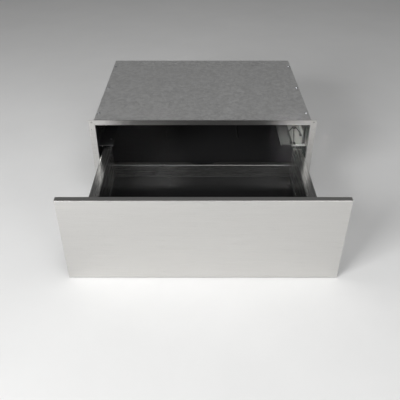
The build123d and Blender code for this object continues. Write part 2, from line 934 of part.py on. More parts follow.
blade_inner_radius = rotor_radius - blade_length
with BuildPart() as fan_rotor:
    # Back plate, hub and shaft. The plate and the front ring have a flat for each half
    # blade, which keeps their faces few.
    with BuildSketch(upright(rotor_back_y)):
        with Locations((fan_x, fan_z)):
            RegularPolygon(rotor_radius, 2 * rotor_blades)
    extrude(amount=rotor_sheet)
    with BuildSketch(upright(rotor_back_y)):
        with Locations((fan_x, fan_z)):
            Circle(hub_radius)
    extrude(amount=hub_length)
    with BuildSketch(upright(rotor_back_y)):
        with Locations((fan_x, fan_z)):
            Circle(shaft_radius)
    extrude(amount=rotor_back_y - motor_y - shaft_reach)
    # Forward curved blades between the back plate and the front ring
    with BuildSketch(upright(rotor_y)):
        with Locations((fan_x, fan_z)):
            with PolarLocations((rotor_radius + blade_inner_radius) / 2, rotor_blades):
                Rectangle(blade_length, blade_thickness, rotation=blade_turn)
    extrude(amount=rotor_sheet - rotor_depth)
    with BuildSketch(upright(rotor_y)):
        with Locations((fan_x, fan_z)):
            RegularPolygon(rotor_radius, 2 * rotor_blades)
            RegularPolygon(blade_inner_radius, 2 * rotor_blades, mode=Mode.SUBTRACT)
    extrude(amount=-rotor_sheet)
fan_rotor.part.label = "fan_rotor"
export_step(fan_rotor.part, "parts/fan_rotor.step")

# ---------------------------------------------------------------- electrics
control_middle_y = (scroll_y + back_panel_y) / 2
with BuildPart() as control_box:
    with BuildSketch(level(floor_z)) as box_outline:
        with Locations((control_x, control_middle_y)):
            Rectangle(control_width, control_depth)
        chamfer(box_outline.vertices(), control_corner)
    extrude(amount=control_height)
    with BuildSketch(level(floor_z + control_wall)) as box_room:
        with Locations((control_x, control_middle_y)):
            Rectangle(control_width - 2 * control_wall, control_depth - 2 * control_wall)
        chamfer(box_room.vertices(), control_corner)
    extrude(amount=control_height, mode=Mode.SUBTRACT)
control_box.part.label = "control_box"
export_step(control_box.part, "parts/control_box.step")

with BuildPart() as control_lid:
    with BuildSketch(level(floor_z + control_height)) as lid_outline:
        with Locations((control_x, control_middle_y)):
            Rectangle(control_width, control_depth)
        chamfer(lid_outline.vertices(), control_corner)
        with Locations((control_x, control_middle_y)):
            with GridLocations(lid_vent_pitch, 1, lid_vents, 1):
                Rectangle(vent_slot_width, lid_vent_length, mode=Mode.SUBTRACT)
    extrude(amount=control_wall)
control_lid.part.label = "control_lid"
export_step(control_lid.part, "parts/control_lid.step")

board_z = floor_z + control_wall
board_width = control_width - 2 * (control_wall + board_gap)
board_depth = control_depth - 2 * (control_wall + board_gap)
board_top_z = board_z + board_post_height + board_thickness
relay_x = control_x
transformer_x = relay_x - relay_width / 2 - component_gap - transformer_width / 2
capacitor_x = relay_x + relay_width / 2 + component_gap + capacitor_radius
with BuildPart() as control_board:
    with BuildSketch(level(board_z)):
        with Locations((control_x, control_middle_y)):
            with GridLocations(
                board_width - 2 * board_post_width, board_depth - 2 * board_post_width, 2, 2
            ):
                Rectangle(board_post_width, board_post_width)
    extrude(amount=board_post_height)
    with BuildSketch(level(board_z + board_post_height)):
        with Locations((control_x, control_middle_y)):
            Rectangle(board_width, board_depth)
    extrude(amount=board_thickness)
    with BuildSketch(level(board_top_z)):
        with Locations((transformer_x, control_middle_y)):
            Rectangle(transformer_width, transformer_depth)
    extrude(amount=transformer_height)
    with BuildSketch(level(board_top_z)):
        with Locations((relay_x, control_middle_y)):
            Rectangle(relay_width, relay_depth)
    extrude(amount=relay_height)
    with BuildSketch(level(board_top_z)):
        with Locations((capacitor_x, control_middle_y)):
            Circle(capacitor_radius)
    extrude(amount=capacitor_height)
control_board.part.label = "control_board"
export_step(control_board.part, "parts/control_board.step")

# Terminal block on the back panel above the cable inlet
terminal_block_z = gland_z + terminal_height / 2 + terminal_rise
with BuildPart() as terminal_block:
    with BuildSketch(upright(back_panel_y)):
        with Locations((terminal_x, terminal_block_z)):
            Rectangle(terminal_width, terminal_height)
    extrude(amount=terminal_depth)
    with BuildSketch(upright(back_panel_y - terminal_depth)):
        with Locations((terminal_x, terminal_block_z)):
            with GridLocations(terminal_width / terminal_poles, 1, terminal_poles, 1):
                Rectangle(terminal_slot_width, terminal_slot_height)
    extrude(amount=-terminal_slot_depth, mode=Mode.SUBTRACT)
terminal_block.part.label = "terminal_block"
export_step(terminal_block.part, "parts/terminal_block.step")

with BuildPart() as cable_gland:
    # Nut inside, threaded body through the panel, hexagon and dome outside. The thread
    # and the dome have flats, which keeps their faces few.
    with BuildSketch(upright(back_panel_y - gland_nut_thickness)):
        with Locations((gland_x, gland_z)):
            RegularPolygon(gland_nut_radius, 6)
    extrude(amount=-gland_nut_thickness)
    with BuildSketch(upright(back_panel_y)):
        with Locations((gland_x, gland_z)):
            RegularPolygon(gland_thread_radius, gland_sides)
    extrude(amount=-housing_sheet - gland_reach)
    dome_rim = cable_gland.faces().sort_by(Axis.Y)[-1].edges()
    chamfer(dome_rim, gland_dome_chamfer)
    with BuildSketch(upright(housing_back_y)):
        with Locations((gland_x, gland_z)):
            RegularPolygon(gland_nut_radius, 6)
    extrude(amount=-gland_nut_thickness)
    with BuildSketch(upright(back_panel_y - gland_nut_thickness)):
        with Locations((gland_x, gland_z)):
            Circle(gland_bore / 2)
    extrude(amount=-gland_nut_thickness - housing_sheet - gland_reach, mode=Mode.SUBTRACT)
cable_gland.part.label = "cable_gland"
export_step(cable_gland.part, "parts/cable_gland.step")

# One screw, standing on the level it is screwed down to
with BuildPart() as sheet_screw:
    with BuildSketch(level(0)):
        RegularPolygon(screw_head_radius, screw_sides)
    extrude(amount=screw_head_height)
    with BuildSketch(level(0)):
        RegularPolygon(screw_shank_radius, screw_sides)
    extrude(amount=-screw_shank_length)

cover_screw_seats = [
    Plane(origin=(side * flange_screw_x, y, housing_top_z))
    for side in (-1, 1)
    for y in cover_screw_ys
]
back_screw_seats = [
    Plane(origin=(side * flange_screw_x, housing_back_y, z), z_dir=(0, 1, 0))
    for side in (-1, 1)
    for z in back_screw_zs
]
with BuildPart() as housing_screws:
    with Locations(*cover_screw_seats, *back_screw_seats):
        add(sheet_screw.part)
housing_screws.part.label = "housing_screws"
export_step(housing_screws.part, "parts/housing_screws.step")

# ---------------------------------------------------------------- drawer box
ledge_z = glass_z - box_sheet
ledge_half = inner_half - ledge_depth
for side, side_name in ((-1, "left"), (1, "right")):
    with BuildPart() as drawer_side:
        # Folded sheet: outer wall, flat top, inner wall and the ledge under the glass
        with BuildSketch(upright(panel_back_y)) as side_section:
            with BuildLine():
                Polyline(
                    (side * drawer_half, pan_top_z),
                    (side * drawer_half, side_top_z),
                    (side * inner_half, side_top_z),
                    (side * inner_half, glass_z),
                    (side * ledge_half, glass_z),
                    (side * ledge_half, ledge_z),
                    (side * (inner_half + box_sheet), ledge_z),
                    (side * (inner_half + box_sheet), side_top_z - box_sheet),
                    (side * (drawer_half - box_sheet), side_top_z - box_sheet),
                    (side * (drawer_half - box_sheet), pan_top_z),
                    close=True,
                )
            make_face()
            top_corners = side_section.vertices().group_by(Axis.Y)[-1]
            fillet(top_corners, side_edge_radius)
            under_corners = side_section.vertices().filter_by(
                lambda corner: abs(corner.Y - side_top_z + box_sheet) < 0.01
            )
            fillet(under_corners, side_edge_radius - box_sheet)
        extrude(amount=-drawer_length)
        # The ledge stops at the front wall and at the rear wall
        for low_y, high_y in (
            (panel_back_y, front_wall_y),
            (rear_wall_y, drawer_rear_y),
        ):
            with BuildSketch(level(ledge_z)):
                rectangle_between(side * ledge_half, side * inner_half, low_y, high_y)
            extrude(amount=box_sheet, mode=Mode.SUBTRACT)
    drawer_side.part.label = f"drawer_side_{side_name}"
    export_step(drawer_side.part, f"parts/drawer_side_{side_name}.step")

# Moulded caps that close the rear ends of the hollow sides: a plug, a flange over the
# sheet's edges, and a small upright catch at the inner top corner
with BuildPart() as side_end_caps:
    for side in (-1, 1):
        with BuildSketch(upright(drawer_rear_y - end_cap_thickness)) as cap_face:
            rectangle_between(
                side * (inner_half + box_sheet + end_cap_clearance),
                side * (drawer_half - box_sheet - end_cap_clearance),
                pan_top_z,
                side_top_z - box_sheet - end_cap_clearance,
            )
            fillet(cap_face.vertices().group_by(Axis.Y)[-1], side_edge_radius - box_sheet)
        extrude(amount=-end_cap_thickness)
        with BuildSketch(upright(drawer_rear_y)) as flange_face:
            rectangle_between(side * inner_half, side * drawer_half, pan_z, side_top_z)
            fillet(flange_face.vertices().group_by(Axis.Y)[-1], side_edge_radius)
            rectangle_between(
                side * (inner_half + side_edge_radius),
                side * (inner_half + side_edge_radius + end_catch_width),
                side_top_z - side_edge_radius,
                side_top_z + end_catch_height,
            )
        extrude(amount=-end_cap_flange)
side_end_caps.part.label = "side_end_caps"
export_step(side_end_caps.part, "parts/side_end_caps.step")


def round_bend(section, outer_corner, inner_corner):
    """Rounds the two corners of a folded sheet's section at one bend."""
    for corner, radius in ((outer_corner, box_bend), (inner_corner, box_bend - box_sheet)):
        place = Vector(corner[0], corner[1])
        vertex = section.vertices().sort_by_distance(place)[0]
        fillet(vertex, radius)


with BuildPart() as drawer_front_wall:
    with BuildSketch(lengthwise(-inner_half)) as front_wall_section:
        with BuildLine():
            Polyline(
                (front_wall_y, pan_top_z),
                (front_wall_y, side_top_z),
                (panel_back_y, side_top_z),
                (panel_back_y, side_top_z - box_sheet),
                (front_wall_y - box_sheet, side_top_z - box_sheet),
                (front_wall_y - box_sheet, pan_top_z),
                close=True,
            )
        make_face()
        round_bend(
            front_wall_section,
            (front_wall_y, side_top_z),
            (front_wall_y - box_sheet, side_top_z - box_sheet),
        )
    extrude(amount=2 * inner_half)
drawer_front_wall.part.label = "drawer_front_wall"
export_step(drawer_front_wall.part, "parts/drawer_front_wall.step")

with BuildPart() as drawer_rear_wall:
    # Low wall, deep rim behind it and a lip turned down at the rim's rear edge
    with BuildSketch(lengthwise(-inner_half)) as rear_wall_section:
        with BuildLine():
            Polyline(
                (rear_wall_y, pan_top_z),
                (rear_wall_y, rear_wall_top_z),
                (drawer_rear_y, rear_wall_top_z),
                (drawer_rear_y, rear_wall_top_z - rim_lip),
                (drawer_rear_y - box_sheet, rear_wall_top_z - rim_lip),
                (drawer_rear_y - box_sheet, rear_wall_top_z - box_sheet),
                (rear_wall_y + box_sheet, rear_wall_top_z - box_sheet),
                (rear_wall_y + box_sheet, pan_top_z),
                close=True,
            )
        make_face()
        round_bend(
            rear_wall_section,
            (rear_wall_y, rear_wall_top_z),
            (rear_wall_y + box_sheet, rear_wall_top_z - box_sheet),
        )
        round_bend(
            rear_wall_section,
            (drawer_rear_y, rear_wall_top_z),
            (drawer_rear_y - box_sheet, rear_wall_top_z - box_sheet),
        )
    extrude(amount=2 * inner_half)
    # Half round cut-out that clears the latch
    with BuildSketch(level(rear_wall_top_z)):
        with Locations((0, drawer_rear_y)):
            Ellipse(notch_width / 2, notch_depth)
    extrude(amount=-rim_lip, mode=Mode.SUBTRACT)
drawer_rear_wall.part.label = "drawer_rear_wall"
export_step(drawer_rear_wall.part, "parts/drawer_rear_wall.step")

with BuildPart() as base_pan:
    with BuildSketch(level(pan_z)):
        rectangle_between(-drawer_half, drawer_half, panel_back_y, rear_wall_y + box_sheet)
        rectangle_between(inner_half, drawer_half, panel_back_y, drawer_rear_y)
        rectangle_between(-drawer_half, -inner_half, panel_back_y, drawer_rear_y)
    extrude(amount=pan_sheet)
base_pan.part.label = "base_pan"
export_step(base_pan.part, "parts/base_pan.step")

glass_half = inner_half - glass_clearance
glass_middle_y, glass_room = span(front_wall_y, rear_wall_y)
with BuildPart() as glass_floor:
    with BuildSketch(level(glass_z)):
        with Locations((0, glass_middle_y)):
            RectangleRounded(
                2 * glass_half, glass_room - 2 * glass_clearance, glass_corner
            )
    extrude(amount=glass_thickness)
glass_floor.part.label = "glass_floor"
export_step(glass_floor.part, "parts/glass_floor.step")

reflector_half = ledge_half - 2 * glass_clearance
with BuildPart() as insulation_mat:
    with BuildSketch(level(pan_top_z)):
        with Locations((0, glass_middle_y)):
            Rectangle(2 * reflector_half, glass_room - 2 * glass_clearance)
    extrude(amount=insulation_thickness)
insulation_mat.part.label = "insulation_mat"
export_step(insulation_mat.part, "parts/insulation_mat.step")

with BuildPart() as reflector_tray:
    with BuildSketch(level(reflector_z)):
        with Locations((0, glass_middle_y)):
            Rectangle(2 * reflector_half, glass_room - 2 * glass_clearance)
    extrude(amount=reflector_sheet)
    with BuildSketch(level(reflector_top_z)):
        with Locations((0, glass_middle_y)):
            Rectangle(2 * reflector_half, glass_room - 2 * glass_clearance)
            Rectangle(
                2 * (reflector_half - reflector_sheet),
                glass_room - 2 * glass_clearance - 2 * reflector_sheet,
                mode=Mode.SUBTRACT,
            )
    extrude(amount=reflector_lip)
reflector_tray.part.label = "reflector_tray"
export_step(reflector_tray.part, "parts/reflector_tray.step")

# Tubular element: runs across the drawer joined by half round bends
element_radius = element_diameter / 2
element_z = reflector_top_z + element_radius
element_reach = reflector_half - element_edge_gap
first_run_y = glass_middle_y - element_pitch * (element_runs - 1) / 2
route = []
for run in range(element_runs):
    run_y = first_run_y + run * element_pitch
    start_side = -1 if run % 2 == 0 else 1
    route.append((start_side * element_reach, run_y, element_z))
    route.append((-start_side * element_reach, run_y, element_z))
with BuildPart() as heating_element:
    with BuildLine():
        element_line = FilletPolyline(*route, radius=(element_pitch - element_bend_flat) / 2)
    with BuildSketch(Plane(origin=element_line @ 0, z_dir=element_line % 0)):
        RegularPolygon(element_radius, element_sides)
    sweep()
heating_element.part.label = "heating_element"
export_step(heating_element.part, "parts/heating_element.step")

clip_arch = element_radius + clip_gap
with BuildPart() as element_clips:
    for side in (-1, 1):
        for run in range(element_runs):
            run_y = first_run_y + run * element_pitch
            with BuildSketch(lengthwise(side * element_reach / 2)):
                rectangle_between(
                    run_y - clip_arch - clip_sheet,
                    run_y + clip_arch + clip_sheet,
                    reflector_top_z,
                    element_z + clip_arch + clip_sheet,
                )
                rectangle_between(
                    run_y - clip_arch - clip_foot,
                    run_y + clip_arch + clip_foot,
                    reflector_top_z,
                    reflector_top_z + clip_sheet,
                )
                rectangle_between(
                    run_y - clip_arch,
                    run_y + clip_arch,
                    reflector_top_z,
                    element_z + clip_arch,
                    mode=Mode.SUBTRACT,
                )
            extrude(amount=clip_width / 2, both=True)
element_clips.part.label = "element_clips"
export_step(element_clips.part, "parts/element_clips.step")

with BuildPart() as temperature_sensor:
    with BuildSketch(level(reflector_top_z)):
        with Locations((0, glass_middle_y)):
            Rectangle(sensor_plate_length, sensor_diameter)
    extrude(amount=box_sheet)
    with BuildSketch(level(reflector_top_z + box_sheet)):
        with Locations((0, glass_middle_y)):
            Circle(sensor_diameter / 2)
    extrude(amount=glass_z - sensor_gap - reflector_top_z - box_sheet)
temperature_sensor.part.label = "temperature_sensor"
export_step(temperature_sensor.part, "parts/temperature_sensor.step")

with BuildPart() as latch_striker:
    with BuildSketch(upright(striker_y)):
        with Locations((0, latch_z)):
            Rectangle(striker_width, striker_height)
    extrude(amount=-striker_thickness)
latch_striker.part.label = "latch_striker"
export_step(latch_striker.part, "parts/latch_striker.step")

# ---------------------------------------------------------------- front panel
with BuildPart() as front_panel_skin:
    with BuildSketch(upright(panel_front_y)):
        with Locations((0, panel_middle_z)):
            Rectangle(panel_width, panel_height)
    extrude(amount=-panel_thickness)
    folded_edges = front_panel_skin.edges().group_by(Axis.Y)[0]
    fillet(folded_edges, skin_edge_radius)
    with BuildSketch(upright(panel_front_y + skin_sheet)):
        with Locations((0, panel_middle_z)):
            Rectangle(panel_width - 2 * skin_sheet, panel_height - 2 * skin_sheet)
    extrude(amount=-panel_thickness, mode=Mode.SUBTRACT)
front_panel_skin.part.label = "front_panel_skin"
export_step(front_panel_skin.part, "parts/front_panel_skin.step")

liner_y = panel_back_y - liner_sheet
with BuildPart() as front_panel_liner:
    with BuildSketch(upright(liner_y)):
        with Locations((0, panel_middle_z)):
            Rectangle(panel_width - 2 * skin_sheet, panel_height - 2 * skin_sheet)
    extrude(amount=-liner_sheet)
front_panel_liner.part.label = "front_panel_liner"
export_step(front_panel_liner.part, "parts/front_panel_liner.step")

# Ladder of strips between the skin and the liner
stiffener_depth = panel_thickness - skin_sheet - liner_sheet
with BuildPart() as panel_stiffener:
    stiffener_width = panel_width - 2 * stiffener_inset
    stiffener_height = panel_height - 2 * stiffener_inset
    with BuildSketch(upright(panel_front_y + skin_sheet)):
        with Locations((0, panel_middle_z)):
            Rectangle(stiffener_width, stiffener_height)
            Rectangle(
                stiffener_width - 2 * stiffener_sheet,
                stiffener_height - 2 * stiffener_sheet,
                mode=Mode.SUBTRACT,
            )
            with GridLocations(
                stiffener_width / (stiffener_columns + 1), 1, stiffener_columns, 1
            ):
                Rectangle(stiffener_sheet, stiffener_height)
    extrude(amount=-stiffener_depth)
panel_stiffener.part.label = "panel_stiffener"
export_step(panel_stiffener.part, "parts/panel_stiffener.step")

with BuildPart() as panel_bumpers:
    bumper_length = panel_rest_gap - bumper_gap
    with BuildSketch(upright(panel_back_y)):
        with Locations((0, frame_middle_z)):
            with GridLocations(
                frame_width - frame_side_strip, frame_height - 2 * bumper_inset, 2, 2
            ):
                RegularPolygon(bumper_radius, bumper_sides)
    extrude(amount=-bumper_length)
panel_bumpers.part.label = "panel_bumpers"
export_step(panel_bumpers.part, "parts/panel_bumpers.step")

# Angle brackets inside the hollow sides hold the panel
bracket_z = (pan_top_z + side_top_z) / 2
for side, side_name in ((-1, "left"), (1, "right")):
    bracket_outer_x = side * (drawer_half - box_sheet)
    with BuildPart() as front_bracket:
        with BuildSketch(level(bracket_z - bracket_height / 2)):
            rectangle_between(
                bracket_outer_x,
                bracket_outer_x - side * bracket_sheet,
                panel_back_y,
                panel_back_y + bracket_length,
            )
            rectangle_between(
                bracket_outer_x,
                bracket_outer_x - side * bracket_flange,
                panel_back_y,
                panel_back_y + bracket_sheet,
            )
        extrude(amount=bracket_height)
    front_bracket.part.label = f"front_bracket_{side_name}"
    export_step(front_bracket.part, f"parts/front_bracket_{side_name}.step")
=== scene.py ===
# %% [markdown]
# # A built-in warming drawer
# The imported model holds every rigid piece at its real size. This lesson dresses it: it gives
# each finish of the real unit a material, adds the small pieces that are easier to model as
# meshes, and sets up a plain studio. X runs to the right, Y to the back and Z up. Lengths are
# in metres, while the outlines of turned pieces, and the sizes that go with them, are in
# millimetres and are multiplied by MM.

# %% Load the frame
import json
from math import cos, pi, radians, sin

import bmesh
import bpy
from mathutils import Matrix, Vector


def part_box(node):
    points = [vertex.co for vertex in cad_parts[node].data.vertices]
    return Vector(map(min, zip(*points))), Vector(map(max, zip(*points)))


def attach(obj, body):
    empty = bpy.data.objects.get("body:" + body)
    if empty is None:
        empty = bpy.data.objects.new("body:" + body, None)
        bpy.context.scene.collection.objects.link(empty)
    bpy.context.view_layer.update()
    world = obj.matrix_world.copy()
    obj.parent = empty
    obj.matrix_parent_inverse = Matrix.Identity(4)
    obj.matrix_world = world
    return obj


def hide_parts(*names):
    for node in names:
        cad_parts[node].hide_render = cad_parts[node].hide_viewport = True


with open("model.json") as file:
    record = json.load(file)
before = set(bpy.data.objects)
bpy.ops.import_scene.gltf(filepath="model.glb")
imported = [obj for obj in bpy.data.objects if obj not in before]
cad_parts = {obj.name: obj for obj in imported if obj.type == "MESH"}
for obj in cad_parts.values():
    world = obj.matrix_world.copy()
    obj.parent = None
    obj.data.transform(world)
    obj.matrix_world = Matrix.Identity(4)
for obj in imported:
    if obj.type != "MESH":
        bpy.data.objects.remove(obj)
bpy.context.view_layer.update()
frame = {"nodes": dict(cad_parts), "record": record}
NODES = frame["nodes"]
SLOT_OF = {part["node"]: part["material_slot"] for part in frame["record"]["subparts"]}
BODY_OF = {
    node_name: body
    for body, members in frame["record"]["behaviour"]["bodies"].items()
    for node_name in members
}
MM = 0.001

# %% [markdown]
# ## Camera
# The picture is taken from in front and above, with the drawer pulled out towards us. The
# camera stands a metre in front of the drawer's panel and a metre above the floor, and looks
# down by 36 degrees. Its place, tilt and lens are given as a photographer would note them.

# %% Camera
CAMERA_PLACE = (-0.00845, -1.54747, 1.01525)
CAMERA_TILT = radians(54.30)
CAMERA_LENS = 45.54
SENSOR_WIDTH = 36.0
FARTHEST_SIGHT = 60.0

camera = bpy.data.objects.new("camera", bpy.data.cameras.new("camera"))
bpy.context.scene.collection.objects.link(camera)
camera.location = CAMERA_PLACE
camera.rotation_euler = (CAMERA_TILT, 0.0, 0.0)
camera.data.lens = CAMERA_LENS
camera.data.sensor_width = SENSOR_WIDTH
camera.data.clip_end = FARTHEST_SIGHT
bpy.context.scene.camera = camera
bpy.context.scene.view_settings.view_transform = "Standard"
print("camera looks down by", 90 - round(CAMERA_TILT * 180 / pi, 1), "degrees")

# %% [markdown]
# ## Node helpers
# A finish is a small tree of shader nodes. These helpers add one node and join it up, so
# that each finish below reads as a recipe: where the pattern is read, what grain it has, and
# what the grain changes. Object coordinates are used throughout, because every piece keeps
# its place in its mesh and the grain then runs on from one sheet to the next. Noise seldom
# leaves the middle of its range, so that middle is what gets stretched over the values.


# %% Node helpers
NOISE_RANGE = (0.3, 0.7)
UNSTRETCHED = (1.0, 1.0, 1.0)


def start_finish(name, color, metallic, roughness):
    """A new material with a Principled shader whose even values are set on its sockets."""
    material = bpy.data.materials.new(name)
    material.use_nodes = True
    shader = material.node_tree.nodes["Principled BSDF"]
    shader.inputs["Base Color"].default_value = (*color, 1.0)
    shader.inputs["Metallic"].default_value = metallic
    shader.inputs["Roughness"].default_value = roughness
    return material, shader


def add_node(owner, kind):
    """One node of that kind, in the tree of a material or of the world."""
    return owner.node_tree.nodes.new(kind)


def join(owner, source, target):
    """A link from one socket to another."""
    owner.node_tree.links.new(source, target)


def place_pattern(material, scale):
    """Object coordinates stretched by a scale for each axis."""
    coordinates = add_node(material, "ShaderNodeTexCoord")
    mapping = add_node(material, "ShaderNodeMapping")
    mapping.inputs["Scale"].default_value = scale
    join(material, coordinates.outputs["Object"], mapping.inputs["Vector"])
    return mapping.outputs["Vector"]


def grain(material, scale, size, detail=4.0, roughness=0.6):
    """Noise stretched by scale, from 0 to 1."""
    noise = add_node(material, "ShaderNodeTexNoise")
    noise.inputs["Scale"].default_value = size
    noise.inputs["Detail"].default_value = detail
    noise.inputs["Roughness"].default_value = roughness
    join(material, place_pattern(material, scale), noise.inputs["Vector"])
    return noise.outputs["Fac"]


# %% What a grain changes
def tint(material, shader, factor, dark, light):
    """Colours the surface between two tones by a factor."""
    ramp = add_node(material, "ShaderNodeValToRGB")
    for stop, position, tone in zip(ramp.color_ramp.elements, NOISE_RANGE, (dark, light)):
        stop.position = position
        stop.color = (*tone, 1.0)
    join(material, factor, ramp.inputs["Fac"])
    join(material, ramp.outputs["Color"], shader.inputs["Base Color"])


def vary_roughness(material, shader, factor, roughness, below, above, span=NOISE_RANGE):
    """Lets the roughness follow a factor, from a little below its even value to above it."""
    ranger = add_node(material, "ShaderNodeMapRange")
    ranger.inputs["From Min"].default_value = span[0]
    ranger.inputs["From Max"].default_value = span[1]
    ranger.inputs["To Min"].default_value = roughness - below
    ranger.inputs["To Max"].default_value = roughness + above
    join(material, factor, ranger.inputs["Value"])
    join(material, ranger.outputs["Result"], shader.inputs["Roughness"])


def emboss(material, shader, factor, strength, depth):
    """Raises the surface by a factor."""
    bump = add_node(material, "ShaderNodeBump")
    bump.inputs["Strength"].default_value = strength
    bump.inputs["Distance"].default_value = depth
    join(material, factor, bump.inputs["Height"])
    join(material, bump.outputs["Normal"], shader.inputs["Normal"])


def shade(color, share):
    """A colour made darker or lighter."""
    return tuple(min(1.0, channel * share) for channel in color)


# %% [markdown]
# ## Brushed and rolled metals
# The front panel and the frame are brushed along X: the sheet has passed under an abrasive
# belt, so the scratches are long across the unit and very fine along Y and Z. A noise that is
# squeezed a thousandfold in two axes gives that grain. It changes the colour a little, the
# roughness more, and raises the surface by a few micrometres. Drawer box and runners follow
# the same idea with another direction, tone or depth.


# %% Metals
GRAIN_DEPTH = 0.02 * MM
ALONG_X = (6.0, 1400.0, 1400.0)
ALONG_Y = (1400.0, 6.0, 1400.0)
FULL_RANGE = (0.0, 1.0)
finishes = {}


def brushed(name, color, roughness, stretch, contrast=0.06, strength=0.25, metallic=1.0):
    """Sheet metal with a grain that runs along the axis whose stretch is small."""
    material, shader = start_finish(name, color, metallic, roughness)
    fine = grain(material, stretch, size=1.0, detail=6.0, roughness=0.75)
    tint(material, shader, fine, shade(color, 1 - contrast), shade(color, 1 + contrast))
    vary_roughness(material, shader, fine, roughness, below=0.05, above=0.07)
    emboss(material, shader, fine, strength, GRAIN_DEPTH)
    finishes[name] = material


def spangled(name, color, roughness, flake, metallic=0.7):
    """Hot dipped zinc, whose crystals each catch the light a little differently."""
    material, shader = start_finish(name, color, metallic, roughness)
    cells = add_node(material, "ShaderNodeTexVoronoi")
    cells.inputs["Scale"].default_value = 1.0 / flake
    join(material, place_pattern(material, UNSTRETCHED), cells.inputs["Vector"])
    split = add_node(material, "ShaderNodeSeparateColor")
    join(material, cells.outputs["Color"], split.inputs["Color"])
    red, green = split.outputs["Red"], split.outputs["Green"]
    tint(material, shader, red, shade(color, 0.92), shade(color, 1.05))
    vary_roughness(material, shader, green, roughness, below=0.08, above=0.1, span=FULL_RANGE)
    dross = grain(material, UNSTRETCHED, size=900.0)
    emboss(material, shader, dross, strength=0.08, depth=0.03 * MM)
    finishes[name] = material


BRUSHED_STEEL = (0.66, 0.652, 0.636)
SATIN_STEEL = (0.38, 0.38, 0.37)
ROLLED_STEEL = (0.35, 0.346, 0.336)

brushed("brushed_stainless", BRUSHED_STEEL, 0.30, ALONG_X)
for satin, direction in (("satin_stainless", ALONG_X), ("satin_lengthwise", ALONG_Y)):
    brushed(satin, SATIN_STEEL, 0.25, direction, contrast=0.04, strength=0.08, metallic=0.95)
brushed("rolled_steel", ROLLED_STEEL, 0.45, ALONG_Y, contrast=0.05, metallic=0.3)
spangled("galvanised_sheet", (0.56, 0.56, 0.555), 0.45, flake=9.0 * MM)
brushed("bright_zinc", (0.52, 0.53, 0.55), 0.27, ALONG_Y, contrast=0.05)
brushed("polished_steel", (0.70, 0.70, 0.71), 0.14, ALONG_Y, contrast=0.03)
brushed("reflector_aluminium", (0.75, 0.75, 0.76), 0.2, ALONG_X)
brushed("screw_steel", (0.20, 0.20, 0.195), 0.35, ALONG_Y, contrast=0.05)
brushed("element_sheath", (0.25, 0.24, 0.22), 0.5, ALONG_X, contrast=0.2)
print(len(finishes), "metals")

# %% [markdown]
# ## Paint, glass, rubber and plastic
# The other finishes aren't metal. Enamel and paint have a slight orange peel, mouldings a
# fine spark texture, and rubber is matt with a little dust. The drawer's floor is opaque black
# glass ceramic, which has the faintest smears from wiping and no bump at all.


# %% Other finishes
SKIN_CONTRAST = 0.12
GLASS_INDEX = 1.54
SMEAR_STRETCH = (3.0, 14.0, 1.0)


def skinned(name, color, roughness, size, strength, depth):
    """Paint, plastic or rubber with an even colour and a fine skin."""
    material, shader = start_finish(name, color, 0.0, roughness)
    cloud = grain(material, UNSTRETCHED, size, detail=3.0)
    dark, light = shade(color, 1 - SKIN_CONTRAST), shade(color, 1 + SKIN_CONTRAST)
    tint(material, shader, cloud, dark, light)
    vary_roughness(material, shader, cloud, roughness, below=0.05, above=0.06)
    emboss(material, shader, cloud, strength, depth)
    finishes[name] = material


def black_glass(name, color, roughness):
    """Glass ceramic: gloss over black, with the faintest smears from wiping."""
    material, shader = start_finish(name, color, 0.0, roughness)
    shader.inputs["IOR"].default_value = GLASS_INDEX
    smears = grain(material, SMEAR_STRETCH, size=2.0, detail=5.0)
    tint(material, shader, smears, shade(color, 0.9), shade(color, 1.15))
    vary_roughness(material, shader, smears, roughness, below=0.0, above=0.015)
    finishes[name] = material


skinned("dark_enamel", (0.027, 0.027, 0.028), 0.5, size=700.0, strength=0.1, depth=0.04 * MM)
skinned("grey_paint", (0.07, 0.07, 0.068), 0.5, size=900.0, strength=0.1, depth=0.03 * MM)
black_glass("black_glass", (0.0105, 0.0105, 0.011), 0.24)
skinned("bumper_rubber", (0.03, 0.03, 0.03), 0.75, size=1200.0, strength=0.3, depth=0.1 * MM)
skinned("dark_moulding", (0.035, 0.035, 0.036), 0.52, size=1600.0, strength=0.25, depth=0.08 * MM)
skinned("pale_moulding", (0.75, 0.74, 0.70), 0.4, size=1500.0, strength=0.1, depth=0.04 * MM)
skinned("lead_insulation", (0.035, 0.035, 0.034), 0.42, size=900.0, strength=0.1, depth=0.04 * MM)
skinned("insulation_fibre", (0.80, 0.78, 0.72), 0.95, size=600.0, strength=0.8, depth=0.6 * MM)
skinned("circuit_board", (0.05, 0.20, 0.10), 0.3, size=300.0, strength=0.1, depth=0.03 * MM)
print(len(finishes), "finishes in all")

# %% [markdown]
# ## Dress the imported pieces
# Each imported piece names the finish it takes. Its mesh stays as it is; only the material in
# its slots changes. The drawer's sides were cut with their grain along them, so their satin
# finish is turned. The guide plates have finishes of their own: the right one a rolled steel
# that the lamps light, the left one dark enamel as painted shade of the shadow it lies in.


# %% Dress the imported pieces
def dress(piece, finish):
    """Gives a piece one finish all over."""
    piece.data.materials.clear()
    piece.data.materials.append(finishes[finish])


OWN_FINISH = {
    "drawer_side_left": "satin_lengthwise",
    "drawer_side_right": "satin_lengthwise",
    # The left guide plate is steel lying in the frame's shadow; its dark enamel is painted shade.
    "guide_plate_left": "dark_enamel",
    "guide_plate_right": "rolled_steel",
}
for node_name, node in NODES.items():
    dress(node, OWN_FINISH.get(node_name, SLOT_OF[node_name]))
print("dressed", len(NODES), "packed pieces")

# %% [markdown]
# ## The bench
# New pieces are made as by hand: a primitive is added at its size, shaped in edit mode and,
# where it is sheet metal, finished with modifiers. Operators act on whatever is selected, so
# each helper deselects everything first. Edges and faces are picked in code, by their place or
# by the way that they face: roughly along an axis, or squarely along it where a bevel's faces
# must stay out.


